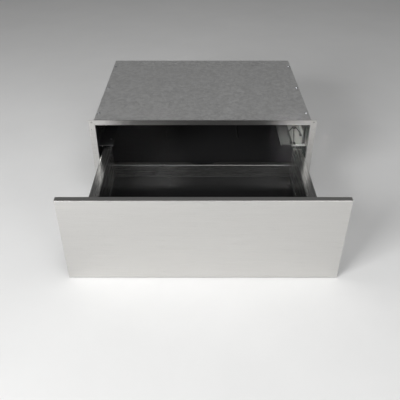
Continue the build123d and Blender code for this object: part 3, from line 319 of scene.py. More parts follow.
# %% Bench helpers
MERGE_GAP = 0.001 * MM
NEAR = 0.1 * MM
FACING = 0.9
SQUARELY = 0.99
UP = (0.0, 0.0, 1.0)
BACK = (0.0, 1.0, 0.0)
FORWARD = (0.0, -1.0, 0.0)


def select_only(*things):
    """Selects these objects alone and makes the first one active."""
    bpy.ops.object.select_all(action="DESELECT")
    for thing in things:
        thing.select_set(True)
    bpy.context.view_layer.objects.active = things[0]


def add_primitive(operator, name, **settings):
    """Adds a primitive by its operator, with nothing else selected."""
    bpy.ops.object.select_all(action="DESELECT")
    operator(**settings)
    bpy.context.object.name = name
    return bpy.context.object


def apply_place():
    """Moves the selected piece's place, turn and scale into its mesh."""
    bpy.ops.object.transform_apply(location=True, rotation=True, scale=True)


def push(*offset):
    """Extrudes the picked faces, or the whole sheet, by an offset."""
    bpy.ops.mesh.extrude_region_move(TRANSFORM_OT_translate={"value": offset})


def pick(piece, kind, test):
    """In edit mode, selects the faces or edges that pass a test."""
    bpy.ops.mesh.select_mode(type=kind)
    bpy.ops.mesh.select_all(action="DESELECT")
    mesh = bmesh.from_edit_mesh(piece.data)
    for item in mesh.faces if kind == "FACE" else mesh.edges:
        if test(item):
            item.select_set(True)
    bmesh.update_edit_mesh(piece.data)


def close_edit(piece):
    """Leaves edit mode with doubles merged and normals outward."""
    bpy.ops.mesh.select_mode(type="VERT")
    bpy.ops.mesh.select_all(action="SELECT")
    bpy.ops.mesh.remove_doubles(threshold=MERGE_GAP)
    bpy.ops.mesh.normals_make_consistent(inside=False)
    bpy.ops.object.mode_set(mode="OBJECT")
    return piece


# %% [markdown]
# ## Finishing a piece
# A finished piece is one object at the origin with its place in its mesh, because its finish
# reads its pattern from there. It gets its finish and the body that it rides on and, where it
# is a finer version of imported pieces, those pieces are hidden.


# %% Finishing a piece
def joined(name, *pieces):
    """Makes one object of several, with its place in its mesh."""
    select_only(*pieces)
    if len(pieces) > 1:
        bpy.ops.object.join()
    whole = bpy.context.object
    whole.name = name
    apply_place()
    return whole


def fit(piece, finish, body, *stands_for, smooth=40.0, slot=None):
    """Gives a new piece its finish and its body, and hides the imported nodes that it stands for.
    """
    select_only(piece)
    bpy.ops.object.shade_smooth_by_angle(angle=radians(smooth))
    dress(piece, finish)
    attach(piece, body)
    if stands_for:
        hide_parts(*stands_for)
    print(piece.name, len(piece.data.polygons), "faces on", body)
    return piece


# %% [markdown]
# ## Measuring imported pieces
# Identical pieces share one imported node, so the node's box says little about each of them.
# The node's mesh is read into a bmesh, vertices at one place are merged, and vertices that
# edges connect are gathered into groups. Each group is one solid, with a box of its own.


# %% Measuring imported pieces
def islands(mesh):
    """The separate solids of a bmesh, each as a list of its vertices."""
    waiting = set(mesh.verts)
    groups = []
    for seed in mesh.verts:
        if seed not in waiting:
            continue
        waiting.remove(seed)
        group = [seed]
        for vertex in group:
            for edge in vertex.link_edges:
                other = edge.other_vert(vertex)
                if other in waiting:
                    waiting.remove(other)
                    group.append(other)
        groups.append(group)
    return groups


def extent(group):
    """Lowest and highest corner of some vertices."""
    low = Vector([min(vertex.co[axis] for vertex in group) for axis in range(3)])
    high = Vector([max(vertex.co[axis] for vertex in group) for axis in range(3)])
    return low, high


def solid_boxes(node_name):
    """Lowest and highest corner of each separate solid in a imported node, from left to right."""
    mesh = bmesh.new()
    mesh.from_mesh(NODES[node_name].data)
    bmesh.ops.remove_doubles(mesh, verts=mesh.verts, dist=MERGE_GAP)
    boxes = [extent(group) for group in islands(mesh)]
    mesh.free()
    return sorted(boxes, key=lambda box: [round(value, 5) for value in box[0]])


print(len(solid_boxes("housing_screws")), "screws to replace")

# %% [markdown]
# ## Leads, grommet and plugs
# Three thin silicone leads come up through a rubber grommet in the right guide plate, arch
# over its rim like the ribs of an umbrella and lie down towards their plugs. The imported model
# has them as straight runs and arcs. A NURBS curve through a few control points, bevelled to
# a round tube and converted to a mesh, gives the limp sweep of the real ones. The control
# points are set from the grommet's and the plugs' own places.

# %% Where the leads run
grommet_low, grommet_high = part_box("lead_grommet")
grommet = (grommet_low + grommet_high) / 2
GUIDE_SHEET = 1.0 * MM
plate_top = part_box("lead_cover")[1].z - GUIDE_SHEET
plug_boxes = solid_boxes("lead_plugs")
LEAD_RADIUS = 1.45 * MM
LEAD_CLEARANCE = 0.15 * MM
PLUG_ENTRY = 1.0 * MM
ARCH_RISE = 4.5 * MM
LANDING_Y = grommet.y - 34.0 * MM
ROOT_RADIUS = 2.15 * MM
ROOT_ANGLES = (130, 250, 10)
LANDING_XS = (
    plug_boxes[0][0].x + 6.5 * MM,
    grommet.x - 7.0 * MM,
    plug_boxes[2][0].x + 3.5 * MM,
)
print(len(plug_boxes), "plugs to reach, the first at x", round(plug_boxes[0][0].x / MM, 1), "mm")


# %% Leads
def lead_points(plug_box, root_angle, landing_x):
    """A lead's route from under the plate, over the grommet's rim and forward into its plug."""
    low, high = plug_box
    run_z = low.z + LEAD_RADIUS + LEAD_CLEARANCE
    root_x = grommet.x + ROOT_RADIUS * cos(radians(root_angle))
    root_y = grommet.y + ROOT_RADIUS * sin(radians(root_angle))
    top = grommet_high.z + ARCH_RISE
    entry = Vector(((low.x + high.x) / 2, high.y - PLUG_ENTRY, run_z))
    lean = Vector((landing_x - root_x, LANDING_Y - root_y, run_z - top))
    return [
        (root_x, root_y, grommet_low.z),
        (root_x, root_y, grommet_high.z),
        (root_x, root_y, top - 4.0 * MM),
        (root_x + 0.12 * lean.x, root_y + 0.12 * lean.y, top - 0.5 * MM),
        (root_x + 0.45 * lean.x, root_y + 0.45 * lean.y, top + 0.45 * lean.z),
        (root_x + 0.85 * lean.x, root_y + 0.85 * lean.y, run_z + 1.5 * MM),
        (root_x + 1.15 * lean.x, LANDING_Y - 6.0 * MM, run_z),
        ((landing_x + entry.x) / 2, (LANDING_Y + entry.y) / 2, run_z),
        (entry.x, entry.y + 8.0 * MM, run_z),
        tuple(entry),
    ]


def lead(name, points):
    """One lead: a NURBS curve with a round section, converted to a mesh."""
    bpy.ops.object.select_all(action="DESELECT")
    bpy.ops.curve.primitive_nurbs_path_add()
    curve = bpy.context.object
    curve.name = name
    curve.data.splines.clear()
    spline = curve.data.splines.new("NURBS")
    spline.points.add(len(points) - 1)
    for control, place in zip(spline.points, points):
        control.co = (*place, 1.0)
    spline.order_u = 4
    spline.use_endpoint_u = True
    curve.data.bevel_depth = LEAD_RADIUS
    curve.data.bevel_resolution = 4
    curve.data.use_fill_caps = True
    curve.data.resolution_u = 8
    bpy.ops.object.convert(target="MESH")
    piece = bpy.context.object
    bpy.ops.object.mode_set(mode="EDIT")
    return close_edit(piece)


leads = [
    lead(f"lead_{index}", lead_points(*route))
    for index, route in enumerate(zip(plug_boxes, ROOT_ANGLES, LANDING_XS))
]
fit(joined("silicone_leads", *leads), "lead_insulation", "housing", "sensor_leads")

# %% [markdown]
# ## The lathe
# Many small pieces are round about an axis. They are turned: one vertex is extruded along
# half of the outline, and the outline is spun about Z. What repeats is turned once and then
# set out, a copy of its mesh at each place, turned to face that place's direction.


# %% The lathe
def turned(name, outline, steps=32):
    """A lathe: spins an outline of (radius, height) points in millimetres about Z."""
    piece = add_primitive(bpy.ops.mesh.primitive_plane_add, name, size=MM)
    bpy.ops.object.mode_set(mode="EDIT")
    bpy.ops.mesh.select_mode(type="VERT")
    bpy.ops.mesh.select_all(action="SELECT")
    bpy.ops.mesh.merge(type="CENTER")
    start = Vector((outline[0][0], 0.0, outline[0][1])) * MM
    bpy.ops.transform.translate(value=start)
    for before, after in zip(outline, outline[1:]):
        step = Vector((after[0] - before[0], 0.0, after[1] - before[1])) * MM
        bpy.ops.mesh.extrude_vertices_move(TRANSFORM_OT_translate={"value": step})
    bpy.ops.mesh.select_all(action="SELECT")
    bpy.ops.mesh.spin(steps=steps, angle=2 * pi, center=(0, 0, 0), axis=(0, 0, 1))
    return close_edit(piece)


def set_out(name, model, seats):
    """Copies a model, which stands on Z, to each (point, direction) and joins the copies."""
    placed = []
    for point, direction in seats:
        twin = model.copy()
        twin.data = model.data.copy()
        bpy.context.scene.collection.objects.link(twin)
        twin.rotation_euler = Vector(direction).to_track_quat("Z", "Y").to_euler()
        twin.location = point
        placed.append(twin)
    bpy.data.objects.remove(model)
    return joined(name, *placed)


# %% [markdown]
# The grommet is a turned rubber ring with a groove that holds the plate's edge. Its outline
# is a closed loop, so the first and the last point are the same.

# %% Grommet
GROMMET_OUTLINE = (
    (4.5, -3.6), (6.2, -4.0), (7.0, -3.2), (7.0, -1.4), (6.4, -0.5), (5.75, -0.5),
    (5.75, 0.5), (6.4, 0.5), (7.0, 1.4), (7.0, 2.6), (6.2, 3.5), (5.0, 3.5), (4.5, 3.0),
    (4.5, -3.6),
)
groove_z = plate_top - GUIDE_SHEET / 2
ring = turned("grommet_ring", GROMMET_OUTLINE)
ring = set_out("plate_grommet", ring, [((grommet.x, grommet.y, groove_z), UP)])
fit(ring, "bumper_rubber", "housing", "lead_grommet")

# %% [markdown]
# Each plug is a small moulded housing with a locking tongue on top and a shallow recess where
# its lead goes in. It starts as a cube of the plug's size, whose edges are bevelled, whose
# front is inset and pushed in as the socket, and whose top carries the extruded tongue.


# %% Plugs
BODY_SHARE = 0.86
TONGUE_SHARE = 0.12
PLUG_EDGE = 0.7 * MM
SOCKET_WALL = 0.9 * MM
SOCKET_DEPTH = 2.2 * MM
TONGUE_INSET = 1.6 * MM
RECESS_WALL = 1.0 * MM
RECESS_DEPTH = 0.8 * MM
PLUG_END_AREA = 9.0 * MM * MM


def lead_plug(name, size):
    """A moulded plug standing on Z = 0, with its lead end towards +Y."""
    body = Vector((size.x, size.y, size.z * BODY_SHARE))
    piece = add_primitive(
        bpy.ops.mesh.primitive_cube_add, name, size=1.0, location=(0, 0, body.z / 2)
    )
    piece.scale = body
    apply_place()
    bpy.ops.object.mode_set(mode="EDIT")
    pick(piece, "EDGE", lambda edge: abs((edge.verts[0].co - edge.verts[1].co).y) > size.y / 2)
    bpy.ops.mesh.bevel(offset=PLUG_EDGE, segments=3, affect="EDGES")
    pick(piece, "FACE", lambda face: face.normal.y < -FACING)
    bpy.ops.mesh.inset(thickness=SOCKET_WALL)
    push(0, SOCKET_DEPTH, 0)
    pick(piece, "FACE", lambda face: face.normal.z > FACING)
    bpy.ops.mesh.inset(thickness=TONGUE_INSET)
    push(0, 0, size.z * TONGUE_SHARE)
    pick(piece, "FACE", lambda face: face.normal.y > FACING and face.calc_area() > PLUG_END_AREA)
    bpy.ops.mesh.inset(thickness=RECESS_WALL)
    push(0, -RECESS_DEPTH, 0)
    return close_edit(piece)


plug_low, plug_high = plug_boxes[0]
plug_model = lead_plug("plug_model", plug_high - plug_low)
plug_seats = [
    (((low.x + high.x) / 2, (low.y + high.y) / 2, low.z), UP) for low, high in plug_boxes
]
fit(set_out("sensor_plugs", plug_model, plug_seats), "dark_moulding", "housing", "lead_plugs")

# %% [markdown]
# ## Seal round the glass floor
# A bead of black silicone closes the joint between the glass and the drawer's walls. A plane
# of the floor's size is inset by the bead's width, the middle is deleted, and the ring that is
# left is raised and rounded along its inner top edge.

# %% Glass seal
glass_low, glass_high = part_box("glass_floor")
SEAL_REACH = 0.45 * MM
SEAL_WIDTH = 2.6 * MM
SEAL_HEIGHT = 1.1 * MM
SEAL_ROUND = 0.9 * MM
INNER_X = glass_high.x + SEAL_REACH - SEAL_WIDTH
INNER_BACK = glass_high.y + SEAL_REACH - SEAL_WIDTH
INNER_FRONT = glass_low.y - SEAL_REACH + SEAL_WIDTH


def on_inner_top(edge):
    """Whether an edge of the seal runs round its inner top."""
    corners = [vertex.co for vertex in edge.verts]
    return (
        min(corner.z for corner in corners) > glass_high.z + SEAL_HEIGHT / 2
        and max(abs(corner.x) for corner in corners) < INNER_X + NEAR
        and max(corner.y for corner in corners) < INNER_BACK + NEAR
        and min(corner.y for corner in corners) > INNER_FRONT - NEAR
    )


seal = add_primitive(
    bpy.ops.mesh.primitive_plane_add,
    "glass_seal",
    size=1.0,
    location=((glass_low.x + glass_high.x) / 2, (glass_low.y + glass_high.y) / 2, glass_high.z),
)
seal.scale = (
    glass_high.x - glass_low.x + 2 * SEAL_REACH,
    glass_high.y - glass_low.y + 2 * SEAL_REACH,
    1.0,
)
apply_place()
bpy.ops.object.mode_set(mode="EDIT")
bpy.ops.mesh.select_all(action="SELECT")
bpy.ops.mesh.inset(thickness=SEAL_WIDTH)
bpy.ops.mesh.delete(type="FACE")
bpy.ops.mesh.select_all(action="SELECT")
push(0, 0, SEAL_HEIGHT)
pick(seal, "EDGE", on_inner_top)
bpy.ops.mesh.bevel(offset=SEAL_ROUND, segments=4, affect="EDGES")
fit(close_edit(seal), "bumper_rubber", "drawer")

# %% [markdown]
# ## Screws
# The cover and the back panel are held by self-tapping screws with an indented hexagon head
# and a pressed washer. The head is a six-sided cylinder whose top is inset and pushed down,
# the washer and the threaded shank are turned, and the whole is copied to the ten places
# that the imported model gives.

# %% Screw head
HEAD_RADIUS = 3.9
HEAD_FOOT = 0.4
HEAD_TOP = 2.0
HEAD_EDGE = 0.35
HEAD_RIM = 0.8
DISH_DEPTH = 0.5
DISH_TAPER = 0.86
DISH_AREA = 20.0 * MM * MM


def hexagon_head(name):
    """The head, from the washer up."""
    piece = add_primitive(
        bpy.ops.mesh.primitive_cylinder_add,
        name,
        vertices=6,
        radius=HEAD_RADIUS * MM,
        depth=(HEAD_TOP - HEAD_FOOT) * MM,
        location=(0, 0, (HEAD_TOP + HEAD_FOOT) / 2 * MM),
    )
    apply_place()
    bpy.ops.object.mode_set(mode="EDIT")
    pick(piece, "EDGE", lambda edge: min(v.co.z for v in edge.verts) > HEAD_TOP * MM - NEAR)
    bpy.ops.mesh.bevel(offset=HEAD_EDGE * MM, segments=2, affect="EDGES")
    pick(piece, "FACE", lambda face: face.normal.z > SQUARELY and face.calc_area() > DISH_AREA)
    bpy.ops.mesh.inset(thickness=HEAD_RIM * MM)
    push(0, 0, -DISH_DEPTH * MM)
    bpy.ops.transform.resize(value=(DISH_TAPER, DISH_TAPER, 1.0))
    return close_edit(piece)


# %% Screws
WASHER_OUTLINE = (
    (0.0, 0.0), (4.9, 0.0), (5.1, 0.2), (4.9, 0.5), (4.2, 0.65), (0.0, 0.65), (0.0, 0.0),
)
SHANK_CORE = 1.5
SHANK_CREST = 1.8
SHANK_PITCH = 1.0
SHANK_TURNS = 6

shank_outline = [(0.0, 0.3), (SHANK_CORE, 0.3)]
for turn in range(SHANK_TURNS):
    turn_z = -SHANK_PITCH * turn
    shank_outline += [(SHANK_CORE, turn_z - 0.3), (SHANK_CREST, turn_z - 0.7)]
shank_outline += [(1.4, -6.4), (0.0, -7.0)]
screw = joined(
    "screw_model",
    turned("washer", WASHER_OUTLINE, steps=24),
    hexagon_head("head"),
    turned("shank", shank_outline, steps=12),
)
screw_seats = []
for low, high in solid_boxes("housing_screws"):
    middle = (low + high) / 2
    if high.y - low.y > high.z - low.z:
        screw_seats.append(((middle.x, high.y - HEAD_TOP * MM, middle.z), BACK))
    else:
        screw_seats.append(((middle.x, middle.y, high.z - HEAD_TOP * MM), UP))
fit(set_out("hexagon_screws", screw, screw_seats), "bright_zinc", "housing", "housing_screws")

# %% [markdown]
# ## Rubber pads and bumpers
# Four moulded pads under the skids carry the unit, and four small bumpers behind the front
# panel stop it softly against the frame. Both are turned. The pads have a shallow recess
# underneath, so that they stand on a ring, and the bumpers a low dome.

# %% Pads and bumpers
PAD_OUTLINE = (
    (0.0, 0.5), (10.5, 0.5), (11.3, 0.0), (15.2, 0.0), (15.8, 0.35), (16.0, 0.9), (15.7, 2.6),
    (15.2, 3.0), (0.0, 3.0),
)
pad_seats = [
    (((low.x + high.x) / 2, (low.y + high.y) / 2, low.z), UP)
    for low, high in solid_boxes("support_pads")
]
pads = set_out("rubber_pads", turned("pad", PAD_OUTLINE, steps=48), pad_seats)
fit(pads, "bumper_rubber", "housing", "support_pads")

BUMPER_OUTLINE = (
    (0.0, 0.0), (5.8, 0.0), (6.0, 0.4), (5.8, 1.1), (5.0, 1.9), (3.4, 2.45), (1.6, 2.65),
    (0.0, 2.7),
)
bumper_seats = [
    (((low.x + high.x) / 2, low.y, (low.z + high.z) / 2), BACK)
    for low, high in solid_boxes("panel_bumpers")
]
bumpers = set_out("rubber_bumpers", turned("bumper", BUMPER_OUTLINE), bumper_seats)
fit(bumpers, "bumper_rubber", "drawer", "panel_bumpers")

# %% [markdown]
# ## Cable gland
# The mains cable goes through a moulded gland in the back panel: a threaded tube, a lock nut
# inside, a hexagon outside and a domed cap with ribs for the fingers. Tube and cap are
# turned, with the bore left open. The hexagons are six-sided cylinders with their ends inset
# and bridged, which makes the hole. The ribs are every second face of the cap's wall,
# extruded a little.

# %% Gland sizes
gland_low, gland_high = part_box("cable_gland")
gland_x = (gland_low.x + gland_high.x) / 2
gland_z = (gland_low.z + gland_high.z) / 2
back_face_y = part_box("chassis_back")[1].y
REACH_IN = (back_face_y - gland_low.y) / MM
REACH_OUT = (gland_high.y - back_face_y) / MM
BORE_RADIUS = 4.0
THREAD_RADIUS = 8.9
CAP_RADIUS = 9.4
HEXAGON_RADIUS = 12.1
NUT_EDGE = 0.6
NUT_WALL = 2.4
NUT_THICKNESS = 5.0
NUT_GAP = 0.05
BACK_SHEET = 1.2
LOCK_NUT_GAP = 0.2
TUBE_SHOWS = 1.0
RIB_HEIGHT = 0.5
GLAND_STEPS = 48
print("gland reaches", round(REACH_IN, 1), "mm in and", round(REACH_OUT, 1), "mm out")


# %% Hexagons of the gland
def hexagon_ring(name, low, high):
    """A hexagon nut about Z from one height to another, with an open middle."""
    piece = add_primitive(
        bpy.ops.mesh.primitive_cylinder_add,
        name,
        vertices=6,
        radius=HEXAGON_RADIUS * MM,
        depth=(high - low) * MM,
        location=(0, 0, (low + high) / 2 * MM),
    )
    apply_place()
    bpy.ops.object.mode_set(mode="EDIT")
    pick(piece, "EDGE", lambda edge: abs((edge.verts[0].co - edge.verts[1].co).z) < NEAR)
    bpy.ops.mesh.bevel(offset=NUT_EDGE * MM, segments=2, affect="EDGES")
    pick(piece, "FACE", lambda face: abs(face.normal.z) > SQUARELY)
    bpy.ops.mesh.inset(thickness=NUT_WALL * MM, use_individual=True)
    bpy.ops.mesh.bridge_edge_loops()
    return close_edit(piece)


# %% Tube and cap of the gland
tube_outline = [(BORE_RADIUS, -REACH_IN), (THREAD_RADIUS - 0.7, -REACH_IN)]
for ridge in range(int(REACH_IN)):
    ridge_z = -REACH_IN + ridge
    tube_outline += [(THREAD_RADIUS, ridge_z + 0.3), (THREAD_RADIUS - 0.5, ridge_z + 0.8)]
tube_outline += [
    (THREAD_RADIUS, NUT_THICKNESS), (BORE_RADIUS, NUT_THICKNESS), (BORE_RADIUS, -REACH_IN),
]
CAP_OUTLINE = (
    (BORE_RADIUS, NUT_THICKNESS - 0.5), (9.2, NUT_THICKNESS - 0.5), (CAP_RADIUS, NUT_THICKNESS),
    (CAP_RADIUS, REACH_OUT - 4.0), (8.9, REACH_OUT - 2.4), (7.8, REACH_OUT - 1.0),
    (6.3, REACH_OUT - 0.2), (5.2, REACH_OUT), (BORE_RADIUS, REACH_OUT - 0.6),
    (BORE_RADIUS, NUT_THICKNESS - 0.5),
)


def on_rib(face):
    """Whether a face belongs to a rib of the cap's wall."""
    middle = face.calc_center_median()
    on_wall = middle.xy.length > CAP_RADIUS * MM - NEAR and middle.z > NUT_THICKNESS * MM
    turn = (middle.xy.angle_signed(Vector((1, 0))) % (2 * pi)) / (2 * pi)
    return on_wall and int(round(turn * GLAND_STEPS - 0.5)) % 2 == 0


cap = turned("cap", CAP_OUTLINE, steps=GLAND_STEPS)
select_only(cap)
bpy.ops.object.mode_set(mode="EDIT")
pick(cap, "FACE", on_rib)
bpy.ops.mesh.extrude_faces_move(TRANSFORM_OT_shrink_fatten={"value": RIB_HEIGHT * MM})
close_edit(cap)
print(len(cap.data.polygons), "faces in the ribbed cap")

# %% Cable gland
gland = joined(
    "gland_model",
    turned("tube", tube_outline, steps=GLAND_STEPS),
    hexagon_ring("lock_nut", -REACH_IN + TUBE_SHOWS, -BACK_SHEET - LOCK_NUT_GAP),
    hexagon_ring("outer_hexagon", NUT_GAP, NUT_THICKNESS),
    cap,
)
gland = set_out("mains_gland", gland, [((gland_x, back_face_y, gland_z), BACK)])
fit(gland, "dark_moulding", "housing", "cable_gland")

# %% [markdown]
# ## Bearing balls and cages
# Each cage is a stamped strip that keeps its balls apart between two runner members. The
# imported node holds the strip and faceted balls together. A copy of it is merged and its balls
# are deleted, so the strip stays as it is, and polished round balls go into its pockets.

# %% Balls and cages
LARGEST_BALL = 3.6 * MM
BALL_RADIUS = 1.75 * MM
POLE_SHARE = 0.9
POLE_SQUASH = 0.995


def round_balls(name, places):
    """Polished balls, drawn in a hair at their poles, where they were cut from the wire."""
    ball = add_primitive(
        bpy.ops.mesh.primitive_uv_sphere_add, name, segments=24, ring_count=12, radius=BALL_RADIUS
    )
    bpy.ops.object.mode_set(mode="EDIT")
    pick(ball, "FACE", lambda face: abs(face.calc_center_median().z) > POLE_SHARE * BALL_RADIUS)
    bpy.ops.transform.resize(value=(1.0, 1.0, POLE_SQUASH))
    close_edit(ball)
    return set_out(name, ball, [(place, UP) for place in places])


def is_ball(low, high):
    """Whether a box of a cage's node is a ball's."""
    return max(high - low) < LARGEST_BALL


def refit_cage(node_name):
    """Replaces a packed cage by its own strip and round balls."""
    places = [(low + high) / 2 for low, high in solid_boxes(node_name) if is_ball(low, high)]
    strip_name = node_name.replace("ball_cage", "cage_strip")
    strip = bpy.data.objects.new(strip_name, NODES[node_name].data.copy())
    bpy.context.scene.collection.objects.link(strip)
    select_only(strip)
    bpy.ops.object.mode_set(mode="EDIT")
    bpy.ops.mesh.select_mode(type="VERT")
    bpy.ops.mesh.select_all(action="SELECT")
    bpy.ops.mesh.remove_doubles(threshold=MERGE_GAP)
    bpy.ops.mesh.select_all(action="DESELECT")
    mesh = bmesh.from_edit_mesh(strip.data)
    for group in islands(mesh):
        if is_ball(*extent(group)):
            for vertex in group:
                vertex.select_set(True)
    bmesh.update_edit_mesh(strip.data)
    bpy.ops.mesh.delete(type="VERT")
    close_edit(strip)
    balls = round_balls(node_name.replace("ball_cage", "balls"), places)
    fit(balls, "polished_steel", BODY_OF[node_name])
    fit(strip, SLOT_OF[node_name], BODY_OF[node_name], node_name)


for node_name in sorted(NODES):
    if node_name.startswith("ball_cage"):
        refit_cage(node_name)

# %% [markdown]
# ## Lead channel
# A grey channel stands on the front end of the right guide plate, against the housing's side,
# and hides the leads' way up to the cover. A cube of its size loses its back and its
# underside, a groove is inset and pushed into its face, Solidify gives the sheet its
# thickness and Bevel breaks its edges.

# %% Lead channel
plate_low, plate_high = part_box("guide_plate_right")
CHANNEL_SIZE = Vector((10.0, 13.0, 104.0)) * MM
CHANNEL_GAP = 1.4 * MM
CHANNEL_RIM = 2.6 * MM
CHANNEL_GROOVE = 1.8 * MM
CHANNEL_SHEET = 0.8 * MM
CHANNEL_EDGE = 0.3 * MM


def apply_modifier(piece, kind, **settings):
    """Adds a modifier, sets it up and applies it."""
    select_only(piece)
    modifier = piece.modifiers.new(kind.title(), kind)
    for key, value in settings.items():
        setattr(modifier, key, value)
    bpy.ops.object.modifier_apply(modifier=modifier.name)


channel = add_primitive(bpy.ops.mesh.primitive_cube_add, "channel_model", size=1.0)
channel.scale = CHANNEL_SIZE
apply_place()
bpy.ops.object.mode_set(mode="EDIT")
pick(channel, "FACE", lambda face: face.normal.y > FACING or face.normal.z < -FACING)
bpy.ops.mesh.delete(type="FACE")
pick(channel, "FACE", lambda face: face.normal.y < -FACING)
bpy.ops.mesh.inset(thickness=CHANNEL_RIM)
push(0, CHANNEL_GROOVE, 0)
bpy.ops.object.mode_set(mode="OBJECT")
apply_modifier(channel, "SOLIDIFY", thickness=CHANNEL_SHEET, offset=-1.0)
apply_modifier(channel, "BEVEL", width=CHANNEL_EDGE, segments=2, limit_method="ANGLE")
channel_x = plate_high.x - CHANNEL_GAP - CHANNEL_SIZE.x / 2
channel_y = plate_low.y + CHANNEL_SIZE.y / 2
channel_z = plate_top + CHANNEL_SIZE.z / 2
channel = set_out("lead_channel", channel, [((channel_x, channel_y, channel_z), UP)])
fit(channel, "grey_paint", "housing")

# %% [markdown]
# ## Corner screws
# The front frame is fixed to the housing in its four corners, where the mitres meet, by
# small screws with a round socket. Head and socket are one turned outline.

# %% Corner screws
CORNER_SCREW_OUTLINE = (
    (0.0, -1.2), (2.7, -1.2), (2.7, -0.05), (2.45, 0.22), (1.6, 0.3), (1.4, 0.2),
    (1.25, -0.8), (0.0, -0.9),
)
CORNER_INSET = Vector((9.5, 0.0, 7.5)) * MM
frame_low, frame_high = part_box("front_frame")
corner_seats = []
for corner_x in (frame_low.x + CORNER_INSET.x, frame_high.x - CORNER_INSET.x):
    for corner_z in (frame_low.z + CORNER_INSET.z, frame_high.z - CORNER_INSET.z):
        corner_seats.append(((corner_x, frame_low.y, corner_z), FORWARD))
corner_screw = turned("corner_screw", CORNER_SCREW_OUTLINE, steps=24)
corner_screws = set_out("corner_screws", corner_screw, corner_seats)
fit(corner_screws, "screw_steel", "housing", slot="bright_zinc")

# %% [markdown]
# ## Guide plate screws
# Each guide plate hangs on the housing by small pan-head screws. Head, shank and socket are
# one turned outline. The one near the front of the left plate catches the light. On the right
# plate the lead channel takes that place, so the row starts further back.

# %% Guide plate screws
PAN_HEAD_OUTLINE = (
    (0.0, -0.9), (1.5, -0.9), (1.5, 0.0), (3.4, 0.0), (3.3, 0.9), (2.5, 1.5), (1.3, 1.8),
    (1.1, 1.7), (0.95, 0.9), (0.0, 0.9),
)
PLATE_SCREW_X = plate_low.x + 12.0 * MM
LEFT_SCREW_YS = (40.0, 220.0, 400.0)
RIGHT_SCREW_YS = (220.0, 400.0)
pan_seats = []
for screw_x, screw_ys in ((-PLATE_SCREW_X, LEFT_SCREW_YS), (PLATE_SCREW_X, RIGHT_SCREW_YS)):
    for screw_y in screw_ys:
        pan_seats.append(((screw_x, plate_low.y + screw_y * MM, plate_top), UP))
pan_screws = set_out("plate_screws", turned("pan_screw", PAN_HEAD_OUTLINE, steps=24), pan_seats)
fit(pan_screws, "bright_zinc", "housing")

# %% [markdown]
# ## Buffers on the drawer's sides
# A flat rubber buffer near the rear end of each drawer side keeps it from rattling under the
# guide plate. It is a cube of its size with its upright and its top edges bevelled.

# %% Side buffers
BUFFER_SIZE = Vector((5.5, 13.0, 0.9)) * MM
BUFFER_INSET = Vector((6.0, 50.0)) * MM
BUFFER_CORNER = 2.0 * MM
BUFFER_EDGE = 0.35 * MM
buffer = add_primitive(bpy.ops.mesh.primitive_cube_add, "buffer_model", size=1.0)
buffer.scale = BUFFER_SIZE
apply_place()
bpy.ops.object.mode_set(mode="EDIT")
pick(buffer, "EDGE", lambda edge: abs((edge.verts[0].co - edge.verts[1].co).z) > NEAR)
bpy.ops.mesh.bevel(offset=BUFFER_CORNER, segments=5, affect="EDGES")
pick(buffer, "FACE", lambda face: face.normal.z > FACING)
bpy.ops.mesh.bevel(offset=BUFFER_EDGE, segments=2, affect="EDGES")
close_edit(buffer)
side_low, side_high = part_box("drawer_side_right")
buffer_x = side_low.x + BUFFER_INSET.x
buffer_y = side_high.y - BUFFER_INSET.y
buffer_z = side_high.z + BUFFER_SIZE.z / 2
buffer_seats = [((x, buffer_y, buffer_z), UP) for x in (buffer_x, -buffer_x)]
fit(set_out("side_buffers", buffer, buffer_seats), "bumper_rubber", "drawer")

# %% [markdown]
# ## Runner rivets
# The inner member of each runner is riveted to the drawer's side. The rivets' flat heads sit in
# its channel, where the cage passes them without touching. One head is turned and set out
# along both members.

# %% Runner rivets
OUTWARD = {"left": -1.0, "right": 1.0}
RIVET_OUTLINE = (
    (0.0, -1.0), (2.0, -1.0), (2.0, 0.0), (3.3, 0.0), (3.2, 0.4), (2.5, 0.8), (0.0, 0.95),
)
RUNNER_WEB = 1.2 * MM
RIVET_INSET = 24.0 * MM
RIVETS_IN_ROW = 6


def spaced(low, high, inset, count):
    """Even places between two ends, with the outer ones an inset away from the ends."""
    return [low + inset + index / (count - 1) * (high - low - 2 * inset) for index in range(count)]


rivet_seats = []
for side, outward in OUTWARD.items():
    low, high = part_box(f"runner_inner_{side}")
    web_x = low.x + RUNNER_WEB if side == "right" else high.x - RUNNER_WEB
    for rivet_y in spaced(low.y, high.y, RIVET_INSET, RIVETS_IN_ROW):
        rivet_seats.append(((web_x, rivet_y, (low.z + high.z) / 2), (outward, 0.0, 0.0)))
rivets = set_out("runner_rivets", turned("rivet", RIVET_OUTLINE, steps=24), rivet_seats)
fit(rivets, "screw_steel", "drawer", slot="bright_zinc")

# %% [markdown]
# ## Spot welds
# The housing's sides are welded to the flanges of base and cover. Each weld leaves a shallow
# round dent with a raised rim. It is turned once and set out in two rows on each side.

# %% Spot welds
WELD_OUTLINE = (
    (0.0, -0.3), (2.9, -0.3), (2.9, 0.02), (2.5, 0.2), (2.1, 0.22), (1.7, 0.06), (0.0, 0.04),
)
WELDS_IN_ROW = 7
WELD_INSET_Y = 34.0 * MM
WELD_INSET_Z = 9.0 * MM
weld_seats = []
for side, outward in OUTWARD.items():
    low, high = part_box(f"chassis_side_{side}")
    face_x = high.x if side == "right" else low.x
    for weld_y in spaced(low.y, high.y, WELD_INSET_Y, WELDS_IN_ROW):
        for weld_z in (low.z + WELD_INSET_Z, high.z - WELD_INSET_Z):
            weld_seats.append(((face_x, weld_y, weld_z), (outward, 0.0, 0.0)))
welds = set_out("spot_welds", turned("weld", WELD_OUTLINE, steps=24), weld_seats)
fit(welds, "galvanised_sheet", "housing")

